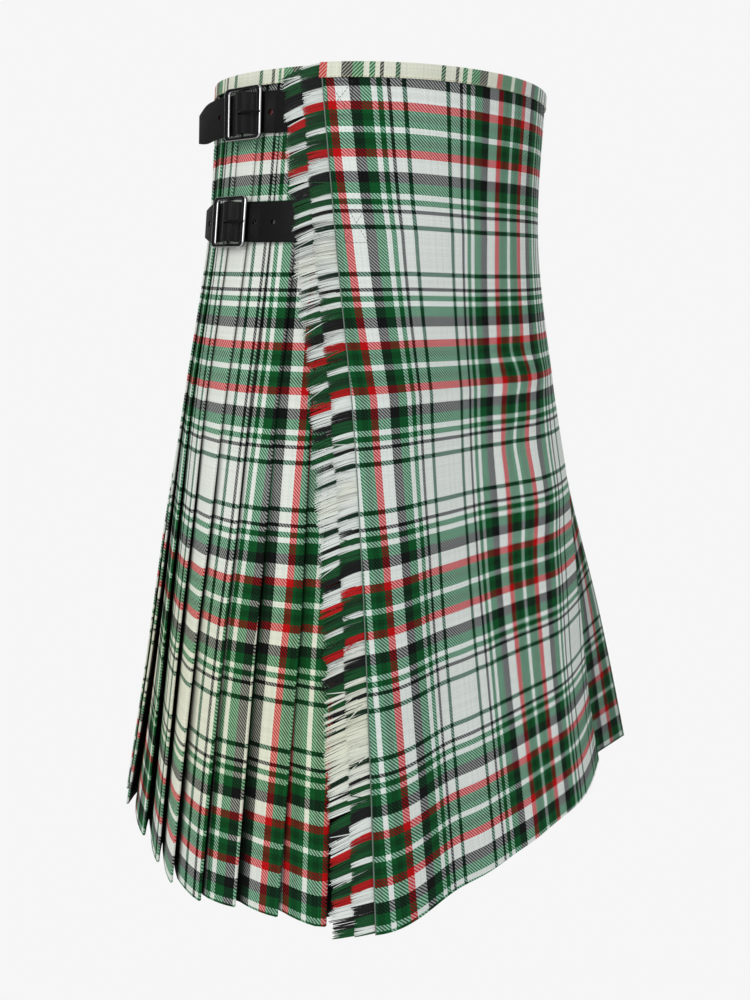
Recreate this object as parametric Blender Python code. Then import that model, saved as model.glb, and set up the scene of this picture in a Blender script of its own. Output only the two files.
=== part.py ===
"""A man's tartan kilt, worn round and held at the waist: two aprons, knife pleats, waistband, double fringe,
and two leather straps fastened in buckles on the wearer's right hip.

Metres, +Z up. The origin is the middle of the ring at the waist's top edge, the front is -Y and the wearer's
right is -X. Angles are degrees from the front, positive to the wearer's left. Each cloth piece is a wall laid
on one worn form, at its own distance in or out from it.
"""

import math
import random
from collections import namedtuple
from functools import lru_cache

import bmesh
import bpy
import numpy as np
from mathutils import Matrix, Vector

LENGTH = 0.610  # waist edge to hem
CLEAR = 0.0003  # between two pieces that touch

APRON_CLOTH = 0.0014
PLEAT_CLOTH = 0.0010
BAND_CLOTH = 0.0010
BAND_DEPTH = 0.0105
BAND_STEP = 0.16  # angle between the back band's end and the outer apron's fold edge
FRINGE_CLOTH = 0.0008

# One row for each height of the worn form. A section's radius at an angle is
# radius + oval cos 2a + flat cos 3a + corner cos 4a, about a centre moved back by shift.
# free_edge and fold_edge are the angles of the outer apron's two sides, last_pleat is where the last pleat's
# edge is at the left hip, and pleat_end is where its cloth ends under the apron. pleat_width is the width
# that shows of the pleat at the right hip, fold how deep a pleat goes in, and tuck how far it folds under, as
# a share of that width.
Section = namedtuple(
    "Section",
    "height shift radius oval flat corner free_edge fold_edge last_pleat pleat_end pleat_width fold tuck",
)
SECTIONS = [
    Section(0.000, 0.000, 0.1370, -0.0105, 0.0005, 0.0004, -63.0, 57.0, 60.5, 50.0, 0.0205, 0.0029, 0.12),
    Section(-0.120, 0.008, 0.1386, -0.0200, -0.0008, 0.0000, -56.3, 53.0, 59.5, 46.0, 0.0225, 0.0029, 0.12),
    Section(-0.240, 0.012, 0.1540, -0.0290, -0.0033, -0.0004, -49.9, 50.5, 60.5, 43.0, 0.0250, 0.0036, 0.20),
    Section(-0.360, 0.012, 0.1751, -0.0335, -0.0053, -0.0017, -46.8, 46.5, 63.0, 39.5, 0.0258, 0.0062, 0.36),
    Section(-0.480, 0.009, 0.1983, -0.0331, -0.0061, -0.0041, -45.5, 43.6, 57.0, 37.5, 0.0280, 0.0092, 0.50),
    Section(-0.610, 0.006, 0.2230, -0.0298, -0.0039, -0.0073, -44.6, 42.2, 51.0, 37.0, 0.0310, 0.0120, 0.60),
]

# Soft folds that stand out of the outer apron, or in where depth is negative. They grow from start down to
# the hem. angle and spread are degrees.
Fold = namedtuple("Fold", "angle spread depth start")
APRON_FOLDS = [
    Fold(-42.0, 7.0, 0.0058, -0.25),
    Fold(-27.0, 8.0, -0.0065, -0.20),
    Fold(0.0, 9.0, 0.0028, -0.22),
    Fold(43.0, 18.0, -0.0190, -0.30),
]

PLEATS = 32
PLEAT_NOSE = PLEAT_CLOTH + CLEAR  # step between the two layers at a pleat's edge
PLEAT_START = -52.6  # angle of the pleat edge under the outer apron's fringe
PLEAT_HEM = -0.605
LEAD = (0.018, 0.5)  # how far ahead of the first pleat its cloth starts, and how deep, as a share of fold
PLEAT_SEAM = APRON_CLOTH + 3 * CLEAR  # how far in the pleats lie where they join the outer apron
PLEAT_INSET = 0.0076  # and elsewhere under it
INSET_RIGHT = (-73.0, -109.0)  # angles over which they come out to the form, at the right hip
PAST_FOLD = 0.5  # angle past the outer apron's fold edge at which they leave its inside
LEFT_RISE = 36.0  # angle past the last pleat's edge at which they come out to it, at the waist's left side
LEFT_RISE_ENDS = (-0.10, -0.40)  # heights over which that angle falls to nothing
LEFT_FLARE = 0.0060  # how far the last pleat's edge stands out at the hem
LEFT_FLARE_START = -0.30
LEFT_FLARE_FADE = (10.0, 45.0)  # angles past that edge over which the flare dies away

# How far the pleats' edges stand out at the hem, at angles round the right hip.
Flare = namedtuple("Flare", "angle out")
RIGHT_FLARES = [
    Flare(-130.0, 0.0000),
    Flare(-111.4, 0.0005),
    Flare(-99.0, -0.0046),
    Flare(-90.0, -0.0012),
    Flare(-83.6, 0.0034),
    Flare(-76.3, 0.0028),
    Flare(-70.2, -0.0052),
    Flare(-62.2, -0.0069),
    Flare(-54.0, -0.0005),
    Flare(-49.0, -0.0060),
]
RIGHT_FLARE_START = -0.20

# How far a pleat's edge at the right hip is moved back from the even spacing, below the hips and at the hem.
Shift = namedtuple("Shift", "pleat below_hips hem")
PLEAT_SHIFTS = [
    Shift(0, 0.0000, 0.0030),
    Shift(1, 0.0000, 0.0093),
    Shift(2, 0.0084, 0.0147),
    Shift(3, 0.0059, 0.0079),
    Shift(4, 0.0067, 0.0083),
    Shift(5, 0.0046, 0.0054),
    Shift(6, 0.0050, 0.0099),
    Shift(7, 0.0080, 0.0300),
    Shift(8, 0.0075, 0.0210),
    Shift(9, 0.0050, 0.0130),
    Shift(10, 0.0030, 0.0070),
    Shift(11, 0.0015, 0.0030),
]
SHIFT_HEIGHTS = (-0.20, -0.40, -LENGTH)  # they start at the first

PLEAT_ROWS = [-0.0005, -0.015, -0.046, -0.094, -0.125, -0.180]
PLEAT_ROWS += [-0.240, -0.310, -0.380, -0.445, -0.505, -0.560, PLEAT_HEM]

UNDER_APRON_RIGHT = -60.0
UNDER_APRON_LEFT = 54.0
UNDER_APRON_HEM = -0.602
UNDER_APRON_FREE = 0.0035  # how far its free edge stands off the pleats
UNDER_APRON_PARTS = (15.0, 40.0)  # angles over which it leaves them

FRINGE_LOCKS = 64
FRINGE_LAP = 0.006  # of the backing strip, under the apron's edge
FRINGE_REACH = {"fringe_upper": 0.015, "fringe_under": 0.031}

STRAP_WIDTH = 0.030
STRAP_LEATHER = 0.0018
STRAP_SEAT = 0.0006  # clear of the pleats' edges
STRAP_HOLE = 0.0042
HOLES = (0.025, 0.041)  # from the buckle's middle to the free holes in front of it
TAB_LEATHER = 0.0008
TAB_WIDTH = 0.026
TAB_SLOT = 0.0056
TAB_REACH = 0.020
BUCKLE_WIDTH = 0.0385  # round the hip
BUCKLE_HEIGHT = 0.0385
BUCKLE_BAR = 0.0055
BUCKLE_RAIL = 0.0029
BUCKLE_THICK = 0.0026
BUCKLE_LIFT = STRAP_SEAT + TAB_LEATHER + STRAP_LEATHER + 2 * CLEAR  # underside of the frame above the pleats
MIDDLE_BAR = 0.0009  # radius
TONGUE = 0.0009  # radius

# Lift of a strap off the pleats, by distance from its sewn end: against the apron's inside, then under the
# fringe, then down on the pleats.
STRAP_DROP = [(0.0, 0.0035), (0.005, 0.0035), (0.012, 0.0010), (0.034, 0.0010), (0.046, 0.0)]

# height and start are the strap's middle line and where it is sewn under the apron. buckle is the distance
# round the form from the front to the buckle's middle, tail how far the strap runs past it, wrap how closely
# the tail follows the hip, and droop how far its end hangs down.
Strap = namedtuple("Strap", "name height start buckle tail wrap droop")
STRAPS = [
    Strap("upper", -0.0305, -0.121, -0.2130, 0.054, 0.35, 0.006),
    Strap("lower", -0.1095, -0.106, -0.2225, 0.034, 1.0, 0.0),
]
HIP_RADIUS = 0.13
STRAP_END = 0.72  # width of a strap's end, as a share of the strap's


def along(column, height):
    """A column of SECTIONS at any height, on a smooth curve through its rows."""
    rows = SECTIONS
    at = next((i for i in range(len(rows) - 2) if height > rows[i + 1].height), len(rows) - 2)
    low, high = rows[at], rows[at + 1]

    def slope(index):
        before, after = rows[max(index - 1, 0)], rows[min(index + 1, len(rows) - 1)]
        return (getattr(after, column) - getattr(before, column)) / (after.height - before.height)

    span = high.height - low.height
    t = (height - low.height) / span
    start, end = getattr(low, column), getattr(high, column)
    return (
        start * (1 + 2 * t) * (1 - t) ** 2
        + end * t * t * (3 - 2 * t)
        + span * (slope(at) * t * (1 - t) ** 2 - slope(at + 1) * t * t * (1 - t))
    )


@lru_cache(maxsize=None)
def section(height):
    return tuple(along(column, height) for column in ("shift", "radius", "oval", "flat", "corner"))


def form(angle, height, out=0.0):
    """The point of the worn form at an angle and height, moved out from its middle."""
    shift, radius, oval, flat, corner = section(height)
    turn = math.radians(angle)
    reach = radius + oval * math.cos(2 * turn) + flat * math.cos(3 * turn) + corner * math.cos(4 * turn)
    reach += out
    return Vector((reach * math.sin(turn), shift - reach * math.cos(turn), height))


@lru_cache(maxsize=None)
def girth(height):
    """Angles all round the form, and the distance along it from the front to each."""
    angles = np.arange(-345.0, 120.5, 1.0)
    points = np.array([form(angle, height) for angle in angles])
    steps = np.linalg.norm(np.diff(points, axis=0), axis=1)
    run = np.concatenate([[0.0], np.cumsum(steps)])
    return angles, run - np.interp(0.0, angles, run)


def distance(angle, height):
    angles, run = girth(height)
    return float(np.interp(angle, angles, run))


def angle_at(run_length, height):
    angles, run = girth(height)
    return float(np.interp(run_length, run, angles))


def smooth_step(value, start, end):
    t = min(max((value - start) / (end - start), 0.0), 1.0)
    return t * t * (3 - 2 * t)


def apron_out(angle, height):
    """How far the outer apron's face stands out of the form."""
    out = 0.0
    for fold in APRON_FOLDS:
        grown = smooth_step(height, fold.start, -LENGTH)
        out += fold.depth * grown * math.exp(-(((angle - fold.angle) / fold.spread) ** 2))
    return out


def pleat_out(angle, height):
    """How far the pleats' outer edges stand out of the form, at angles from -345 to 120."""
    wrapped = (angle + 180.0) % 360.0 - 180.0
    if wrapped < 0.0:
        inset = -PLEAT_INSET * (1 - smooth_step(wrapped, *INSET_RIGHT))
        flare = float(np.interp(wrapped, *zip(*RIGHT_FLARES)))
        return inset + (flare - inset) * smooth_step(height, RIGHT_FLARE_START, -LENGTH)
    fold_edge, last_pleat = along("fold_edge", height), along("last_pleat", height)
    rise_end = last_pleat + LEFT_RISE * (1 - smooth_step(height, *LEFT_RISE_ENDS))
    inset = PLEAT_SEAM - apron_out(fold_edge, height)
    fade = (last_pleat + past for past in LEFT_FLARE_FADE)
    flare = LEFT_FLARE * smooth_step(height, LEFT_FLARE_START, -LENGTH) * (1 - smooth_step(wrapped, *fade))
    return flare - (inset + flare) * (1 - smooth_step(wrapped, fold_edge + PAST_FOLD, rise_end))


def material(name, colour, roughness, metallic=0.0):
    made = bpy.data.materials.new(name)
    made.use_nodes = True
    shader = made.node_tree.nodes["Principled BSDF"]
    shader.inputs["Base Color"].default_value = (*colour, 1.0)
    shader.inputs["Roughness"].default_value = roughness
    shader.inputs["Metallic"].default_value = metallic
    return made


def add_object(name, bm, finish, smooth=35.0):
    bmesh.ops.recalc_face_normals(bm, faces=bm.faces)
    mesh = bpy.data.meshes.new(name)
    bm.to_mesh(mesh)
    bm.free()
    mesh.materials.append(finish)
    mesh.shade_smooth()
    mesh.set_sharp_from_angle(angle=math.radians(smooth))
    obj = bpy.data.objects.new(name, mesh)
    bpy.context.scene.collection.objects.link(obj)
    return obj


def wall(name, outer, inner, finish):
    """A closed wall between two grids of points, each a list of rows."""
    bm = bmesh.new()
    outside = [[bm.verts.new(p) for p in row] for row in outer]
    inside = [[bm.verts.new(p) for p in row] for row in inner]
    rows, columns = len(outer), len(outer[0])
    for i in range(rows - 1):
        for j in range(columns - 1):
            for grid in (outside, inside):
                bm.faces.new((grid[i][j], grid[i + 1][j], grid[i + 1][j + 1], grid[i][j + 1]))
        for j in (0, columns - 1):
            bm.faces.new((outside[i][j], outside[i + 1][j], inside[i + 1][j], inside[i][j]))
    for j in range(columns - 1):
        for i in (0, rows - 1):
            bm.faces.new((outside[i][j], outside[i][j + 1], inside[i][j + 1], inside[i][j]))
    return add_object(name, bm, finish)


def steps(start, end, count):
    return [start + (end - start) * i / (count - 1) for i in range(count)]


def apron_angles(height):
    """The outer apron's columns, closer together near the free edge, where the fringe lies under it."""
    free_edge, fold_edge = along("free_edge", height), along("fold_edge", height)
    return [free_edge + (fold_edge - free_edge) * (0.5 * t + 0.5 * t * t) for t in steps(0.0, 1.0, 25)]


def make_outer_apron(finish):
    outer, inner = [], []
    for height in steps(0.0, -LENGTH, 20):
        angles = apron_angles(height)
        outer.append([form(a, height, apron_out(a, height)) for a in angles])
        inner.append([form(a, height, apron_out(a, height) - APRON_CLOTH) for a in angles])
    return wall("outer_apron", outer, inner, finish)


def under_out(angle, height):
    """The under apron lies just inside the pleats' inner folds, and further in at its free edge."""
    free = UNDER_APRON_FREE * smooth_step(angle, *UNDER_APRON_PARTS)
    return -PLEAT_INSET - along("fold", height) - PLEAT_CLOTH - 2 * CLEAR - free


def make_under_apron(finish):
    outer, inner = [], []
    for height in PLEAT_ROWS[:-1] + [UNDER_APRON_HEM]:
        angles = steps(UNDER_APRON_RIGHT, UNDER_APRON_LEFT, 23)
        outer.append([form(a, height, under_out(a, height)) for a in angles])
        inner.append([form(a, height, under_out(a, height) - APRON_CLOTH) for a in angles])
    return wall("under_apron", outer, inner, finish)


def pleat_shift(pleat, height):
    """How far back of the even spacing a pleat's edge lies."""
    if pleat >= len(PLEAT_SHIFTS):
        return 0.0
    shift = PLEAT_SHIFTS[pleat]
    depths = [-h for h in SHIFT_HEIGHTS]
    return float(np.interp(-height, depths, (0.0, shift.below_hips, shift.hem)))


def pleat_edges(height):
    """The distance round the form to each pleat's outer edge, from the right hip back and round to the left.

    The widths change evenly on the way round, so that the whole run is used up.
    """
    first = distance(PLEAT_START, height)
    last = distance(along("last_pleat", height) - 360.0, height)
    spaces = PLEATS - 1
    ratio = along("pleat_width", height) * spaces / (first - last)
    edges = []
    for i in range(PLEATS):
        share = i / spaces
        uneven = 0.035 * math.sin(2.3 * i) * smooth_step(height, -0.20, -LENGTH)
        even = first + (last - first) * (ratio * share + (1 - ratio) * share**2 + uneven / spaces)
        edges.append(even - pleat_shift(i, height))
    return edges


def pleat_line(height):
    """The pleated cloth's middle line in plan: out to an edge, back under it, and on to the next.

    It ends against the inside of the outer apron, near the apron's fold edge.
    """
    fold = along("fold", height)
    tuck = along("tuck", height) * along("pleat_width", height)
    half = PLEAT_CLOTH / 2

    def place(run_length, depth):
        angle = angle_at(run_length, height)
        return form(angle, height, pleat_out(angle, height) - half - depth)

    edges = pleat_edges(height)
    line = [place(edges[0] + LEAD[0], LEAD[1] * fold)]
    for edge in edges:
        line += [
            place(edge - tuck, fold),
            place(edge - tuck, fold - PLEAT_NOSE),
            place(edge, PLEAT_NOSE),
            place(edge, 0.0),
        ]
    for angle in (along("fold_edge", height) + PAST_FOLD, along("pleat_end", height)):
        line.append(form(angle, height, apron_out(angle, height) - PLEAT_SEAM - half))
    return line


def offset_line(line, offset):
    """A line in plan moved to its left by offset, with mitred corners."""
    moved = []
    for i, point in enumerate(line):
        before = (point - line[i - 1]).normalized() if i else None
        after = (line[i + 1] - point).normalized() if i + 1 < len(line) else None
        before, after = before or after, after or before
        normal = Vector((-before.y, before.x, 0.0)) + Vector((-after.y, after.x, 0.0))
        normal.normalize()
        reach = offset / max(normal.dot(Vector((-before.y, before.x, 0.0))), 0.45)
        moved.append(point + normal * reach)
    return moved


def make_pleats(finish):
    lines = [pleat_line(height) for height in PLEAT_ROWS]
    outer = [offset_line(line, PLEAT_CLOTH / 2) for line in lines]
    inner = [offset_line(line, -PLEAT_CLOTH / 2) for line in lines]
    return wall("pleats", outer, inner, finish)


def back_band_face(angle, height):
    return pleat_out(angle, height) + 0.5 * CLEAR


def make_waistband(name, angles, face, finish):
    """A strip over the top edge, lying on the face given as a function of angle and height."""
    heights = (0.0, -BAND_DEPTH)
    outer = [[form(a, h, face(a, h) + CLEAR + BAND_CLOTH) for a in angles] for h in heights]
    inner = [[form(a, h, face(a, h) + CLEAR) for a in angles] for h in heights]
    return wall(name, outer, inner, finish)


def make_fringe(name, layer, finish):
    """Locks of unravelled thread along the apron's free edge, on a narrow strip sewn under it."""
    draw = random.Random(name)
    reach = FRINGE_REACH[name]
    face = -APRON_CLOTH - CLEAR - layer * (FRINGE_CLOTH + CLEAR)
    pitch = LENGTH / FRINGE_LOCKS

    def place(height, past_edge, depth):
        free_edge = along("free_edge", height)
        angle = angle_at(distance(free_edge, height) - past_edge, height)
        return form(angle, height, apron_out(max(angle, free_edge), height) + face - depth)

    bm = bmesh.new()
    rings, roots = [], []
    for i in range(FRINGE_LOCKS):
        for end in (0.14, 0.86):
            height = -pitch * (i + end)
            corners = ((-FRINGE_LAP, 0), (0.0008, 0), (0.0008, FRINGE_CLOTH), (-FRINGE_LAP, FRINGE_CLOTH))
            rings.append([bm.verts.new(place(height, *corner)) for corner in corners])
    for ring in (rings[0], rings[-1]):
        bm.faces.new(ring)
    for i, (above, below) in enumerate(zip(rings, rings[1:])):
        for j in range(4):
            k = (j + 1) % 4
            if j == 1 and i % 2 == 0:
                roots.append((i // 2, above, below))
                continue
            bm.faces.new((above[j], above[k], below[k], below[j]))
    for i, above, below in roots:
        middle = -pitch * (i + 0.5)
        droop = 0.0022 + 0.0012 * math.sin(0.55 * i + layer) + draw.uniform(-0.0006, 0.0006)
        length = reach * draw.uniform(0.86, 1.04)
        last = [above[1], below[1], below[2], above[2]]
        for share, half in ((0.5, 0.0024), (1.0, 0.0012)):
            height = middle - droop * share * (1 + share)
            lift = -0.0003 * share
            ring = [
                bm.verts.new(place(height + side * half, length * share, depth + lift))
                for side, depth in ((1, 0), (-1, 0), (-1, FRINGE_CLOTH), (1, FRINGE_CLOTH))
            ]
            for j in range(4):
                k = (j + 1) % 4
                bm.faces.new((last[j], last[k], ring[k], ring[j]))
            last = ring
        bm.faces.new(last)
    return add_object(name, bm, finish)


def buckle_frame(strap):
    """Where a buckle sits: its middle on the pleats, the ways back round the hip, up the cloth, and out."""
    angle = angle_at(strap.buckle, strap.height)
    middle = form(angle, strap.height, pleat_out(angle, strap.height))
    ends = []
    for side in (1, -1):
        near = angle_at(strap.buckle + side * BUCKLE_WIDTH / 2, strap.height)
        ends.append(form(near, strap.height, pleat_out(near, strap.height)))
    back = (ends[1] - ends[0]).normalized()
    reach = STRAP_WIDTH / 2
    slope = form(angle, strap.height + reach) - form(angle, strap.height - reach)
    up = (slope - back * slope.dot(back)).normalized()
    return middle, back, up, up.cross(back)


def strap_route():
    """The strap's middle line at a buckle, as (back along the hip, lift): under the front bar, over the
    middle bar and under the back bar."""
    half = STRAP_LEATHER / 2
    on_pleats = STRAP_SEAT + half
    over = BUCKLE_LIFT + BUCKLE_THICK / 2 + MIDDLE_BAR + TAB_LEATHER + 2 * CLEAR + half
    under_back = STRAP_SEAT + TAB_LEATHER + CLEAR + half
    side = BUCKLE_WIDTH / 2
    return [
        (-side - 0.001, on_pleats + 0.0001),
        (-side + BUCKLE_BAR, on_pleats + 0.0002),
        (-0.0075, on_pleats + 0.0020),
        (-0.0045, over - 0.0018),
        (-0.0022, over - 0.0002),
        (0.0, over),
        (0.0022, over - 0.0002),
        (0.0048, over - 0.0022),
        (0.0080, under_back + 0.0015),
        (side - BUCKLE_BAR, under_back),
        (side, under_back),
    ]


def make_strap(strap, finish):
    middle, back, up, out = buckle_frame(strap)
    shares = (1.0, 0.33, -0.33, -1.0)
    half = STRAP_WIDTH / 2
    grids = [[], []]
    for run_length in np.arange(strap.start, strap.buckle + BUCKLE_WIDTH * 0.70, -0.006):
        angle = angle_at(float(run_length), strap.height)
        seat = STRAP_SEAT + float(np.interp(strap.start - run_length, *zip(*STRAP_DROP)))
        for grid, lift in zip(grids, (seat + STRAP_LEATHER, seat)):
            heights = [strap.height + s * half for s in shares]
            grid.append([form(angle, h, pleat_out(angle, h) + lift) for h in heights])
    route = strap_route()
    side, lift = route[-1]
    past = strap.tail - side
    for share in (0.30, 0.55, 0.70, 0.82, 0.92, 1.0):
        place = side + past * share
        fall = strap.wrap * max(place**2 - TAB_REACH**2, 0.0) / (2 * HIP_RADIUS)
        route.append((place, lift - fall))
    flat = [Vector((along_hip, lift, 0.0)) for along_hip, lift in route]
    for grid, offset in zip(grids, (STRAP_LEATHER / 2, -STRAP_LEATHER / 2)):
        for at, moved in zip(flat, offset_line(flat, offset)):
            left = (strap.tail - at.x) / (STRAP_WIDTH * 0.45)
            lower = strap.droop * (max(at.x - side, 0.0) / past) ** 2
            rounding = math.sin(min(max(left, 0.0), 1.0) * math.pi / 2)
            narrow = STRAP_END + (1 - STRAP_END) * rounding
            centre = middle + back * moved.x + out * moved.y - up * lower
            grid.append([centre + up * (s * half * narrow) for s in shares])
    obj = wall(f"strap_{strap.name}", *grids, finish)
    punch_holes(obj, strap)
    return obj


def punch_holes(obj, strap):
    """Holes along the middle line, the tongue's among them."""
    middle, back, up, out = buckle_frame(strap)
    places = [(middle, out)]
    for ahead in HOLES:
        angle = angle_at(strap.buckle + ahead, strap.height)
        outward = form(angle, strap.height, 0.01) - form(angle, strap.height)
        place = form(angle, strap.height, pleat_out(angle, strap.height))
        places.append((place, outward.normalized()))
    places.append((middle + back * (BUCKLE_WIDTH / 2 + 0.008), out))
    bm = bmesh.new()
    for place, outward in places:
        turn = outward.to_track_quat("Z", "Y").to_matrix().to_4x4()
        bmesh.ops.create_cone(
            bm,
            cap_ends=True,
            segments=10,
            radius1=STRAP_HOLE / 2,
            radius2=STRAP_HOLE / 2,
            depth=0.030,
            matrix=Matrix.Translation(place) @ turn,
        )
    cutter = add_object(f"cutter_{strap.name}", bm, obj.data.materials[0])
    cutter.hide_render = True
    cutter.display_type = "WIRE"
    cut = obj.modifiers.new("holes", "BOOLEAN")
    cut.operation = "DIFFERENCE"
    cut.object = cutter


def hip_points(strap, points):
    """World points of a list of (along the hip, up, out) in a buckle's own frame."""
    middle, back, up, out = buckle_frame(strap)
    return [middle + back * a + up * b + out * lift for a, b, lift in points]


def make_buckle(strap, finish):
    """A flat frame with chamfered bars, and a round bar across its middle."""
    bm = bmesh.new()
    side, top = BUCKLE_WIDTH / 2, BUCKLE_HEIGHT / 2
    round_off = 0.0030
    low, high = BUCKLE_LIFT, BUCKLE_LIFT + BUCKLE_THICK
    chamfer = 0.0009

    def loop(inset_side, inset_top, corner, lift):
        a, b = side - inset_side, top - inset_top
        corners = [(-a + corner, b), (a - corner, b), (a, b - corner), (a, -b + corner)]
        corners += [(a - corner, -b), (-a + corner, -b), (-a, -b + corner), (-a, b - corner)]
        return [bm.verts.new(p) for p in hip_points(strap, [(x, up, lift) for x, up in corners])]

    inner_corner = 0.0010
    loops = [
        loop(0.0, 0.0, round_off, low),
        loop(0.0, 0.0, round_off, high - chamfer),
        loop(chamfer, chamfer, round_off, high),
        loop(BUCKLE_BAR - chamfer, BUCKLE_RAIL - chamfer, inner_corner, high),
        loop(BUCKLE_BAR, BUCKLE_RAIL, inner_corner, high - chamfer),
        loop(BUCKLE_BAR, BUCKLE_RAIL, inner_corner, low),
    ]
    for i, here in enumerate(loops):
        there = loops[(i + 1) % len(loops)]
        for j in range(8):
            k = (j + 1) % 8
            bm.faces.new((here[j], here[k], there[k], there[j]))
    frame = add_object(f"buckle_{strap.name}", bm, finish)
    bar = bmesh.new()
    ends = hip_points(strap, [(0, s * (top - BUCKLE_RAIL / 2), low + BUCKLE_THICK / 2) for s in (-1, 1)])
    turn = (ends[1] - ends[0]).to_track_quat("Z", "Y").to_matrix().to_4x4()
    bmesh.ops.create_cone(
        bar,
        cap_ends=True,
        segments=8,
        radius1=MIDDLE_BAR,
        radius2=MIDDLE_BAR,
        depth=(ends[1] - ends[0]).length,
        matrix=Matrix.Translation((ends[0] + ends[1]) / 2) @ turn,
    )
    bar = add_object(f"bar_{strap.name}", bar, finish)
    bar.hide_render = True
    bar.display_type = "WIRE"
    join = frame.modifiers.new("bar", "BOOLEAN")
    join.operation = "UNION"
    join.object = bar
    return frame


def make_tongue(strap, finish):
    """Hooked round the middle bar, up through the strap's hole, and down on to the front bar."""
    centre = BUCKLE_LIFT + BUCKLE_THICK / 2
    hook = MIDDLE_BAR + CLEAR + TONGUE
    turns = [math.radians(a) for a in range(-60, 91, 30)]
    points = [(hook * math.cos(a), 0.0, centre + hook * math.sin(a)) for a in turns]
    top = centre + MIDDLE_BAR + TAB_LEATHER + STRAP_LEATHER + 3 * CLEAR + TONGUE
    rest = BUCKLE_LIFT + BUCKLE_THICK + CLEAR + TONGUE
    bar_at = BUCKLE_WIDTH / 2 - BUCKLE_BAR
    points += [(-0.0009, 0.0, top - 0.0006), (-0.0024, 0.0, top + 0.0004)]
    points += [(-0.0060, 0.0, top - 0.0002), (-bar_at, 0.0, rest + 0.0003)]
    points.append((-bar_at - BUCKLE_BAR - 0.0006, 0.0, rest))
    places = hip_points(strap, points)
    curve = bpy.data.curves.new(f"tongue_{strap.name}", "CURVE")
    curve.dimensions = "3D"
    curve.bevel_depth = TONGUE
    curve.bevel_resolution = 1
    curve.use_fill_caps = True
    spline = curve.splines.new("POLY")
    spline.points.add(len(places) - 1)
    for point, place in zip(spline.points, places):
        point.co = (*place, 1.0)
    curve.materials.append(finish)
    obj = bpy.data.objects.new(curve.name, curve)
    bpy.context.scene.collection.objects.link(obj)
    return obj


def make_tab(strap, finish):
    """The leather that holds the buckle: flat on the pleats, round the middle bar, slotted for the tongue."""
    centre = BUCKLE_LIFT + BUCKLE_THICK / 2
    wrap = MIDDLE_BAR + CLEAR + TAB_LEATHER / 2
    flat = STRAP_SEAT + TAB_LEATHER / 2
    route = [(TAB_REACH, flat), (0.0150, flat), (0.0105, flat)]
    route += [(0.0050, flat + 0.0002), (0.0022, flat + 0.0012)]
    slotted_from = 2
    route += [
        (-wrap * math.sin(math.radians(a)), centre - wrap * math.cos(math.radians(a)))
        for a in range(10, 181, 34)
    ]
    route += [(0.0022, centre + wrap - 0.0011), (0.0046, centre - 0.0009)]
    half, slot = TAB_WIDTH / 2, TAB_SLOT / 2
    bm = bmesh.new()
    rows = []
    for along_hip, lift in route:
        ups = (half, slot, -slot, -half)
        rows.append([bm.verts.new(p) for p in hip_points(strap, [(along_hip, up, lift) for up in ups])])
    for i, (here, there) in enumerate(zip(rows, rows[1:])):
        for j in range(3):
            if j == 1 and i >= slotted_from:
                continue
            bm.faces.new((here[j], there[j], there[j + 1], here[j + 1]))
    obj = add_object(f"tab_{strap.name}", bm, finish)
    thicken = obj.modifiers.new("leather", "SOLIDIFY")
    thicken.thickness = TAB_LEATHER
    thicken.offset = 0.0
    thicken.use_even_offset = True
    return obj


def build():
    for obj in list(bpy.data.objects):
        bpy.data.objects.remove(obj, do_unlink=True)
    cloth = material("tartan_cloth", (0.62, 0.70, 0.63), 0.85)
    under_cloth = material("under_cloth", (0.20, 0.30, 0.22), 0.85)
    thread = material("fringe_thread", (0.45, 0.52, 0.46), 0.90)
    leather = material("black_leather", (0.020, 0.020, 0.022), 0.45)
    metal = material("dark_metal", (0.16, 0.16, 0.17), 0.22, 1.0)

    make_outer_apron(cloth)
    make_under_apron(under_cloth)
    make_pleats(cloth)
    front_angles = steps(SECTIONS[0].free_edge, SECTIONS[0].fold_edge, 25)
    make_waistband("waistband_front", front_angles, apron_out, cloth)
    back_angles = steps(PLEAT_START, SECTIONS[0].fold_edge + BAND_STEP - 360.0, 73)
    make_waistband("waistband_back", back_angles, back_band_face, cloth)
    for layer, name in enumerate(FRINGE_REACH):
        make_fringe(name, layer, thread)
    for strap in STRAPS:
        make_strap(strap, leather)
        make_tab(strap, leather)
        make_buckle(strap, metal)
        make_tongue(strap, metal)


build()
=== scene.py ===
"""Looks of the kilt: woven tartan cloth, unravelled fringe, leather straps and buckles, studio and camera.

Metres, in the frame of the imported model: the origin is the middle of the ring at the waist's top edge, the
front is -Y and the wearer's right is -X. Angles are degrees from the front, positive to the wearer's left.
"""

import math
from collections import namedtuple
from functools import lru_cache

import bmesh
import bpy
import numpy as np
from mathutils import Matrix, Vector


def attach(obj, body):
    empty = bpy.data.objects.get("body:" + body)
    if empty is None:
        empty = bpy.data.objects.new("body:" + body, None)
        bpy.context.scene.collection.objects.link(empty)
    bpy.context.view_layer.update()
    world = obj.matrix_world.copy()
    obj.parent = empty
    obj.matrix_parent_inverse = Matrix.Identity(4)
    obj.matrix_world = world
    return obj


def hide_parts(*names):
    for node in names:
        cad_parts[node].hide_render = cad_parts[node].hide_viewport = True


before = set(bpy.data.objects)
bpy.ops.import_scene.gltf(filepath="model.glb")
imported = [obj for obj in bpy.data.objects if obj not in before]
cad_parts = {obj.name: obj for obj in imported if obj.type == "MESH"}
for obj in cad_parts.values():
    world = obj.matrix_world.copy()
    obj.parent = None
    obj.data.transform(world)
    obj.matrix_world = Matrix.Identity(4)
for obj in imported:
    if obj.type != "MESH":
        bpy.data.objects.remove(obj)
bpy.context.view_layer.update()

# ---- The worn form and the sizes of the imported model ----

LENGTH = 0.610
CLEAR = 0.0003  # between any two pieces
APRON_CLOTH = 0.0014
PLEAT_CLOTH = 0.0010
BAND_DEPTH = 0.0105
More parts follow.
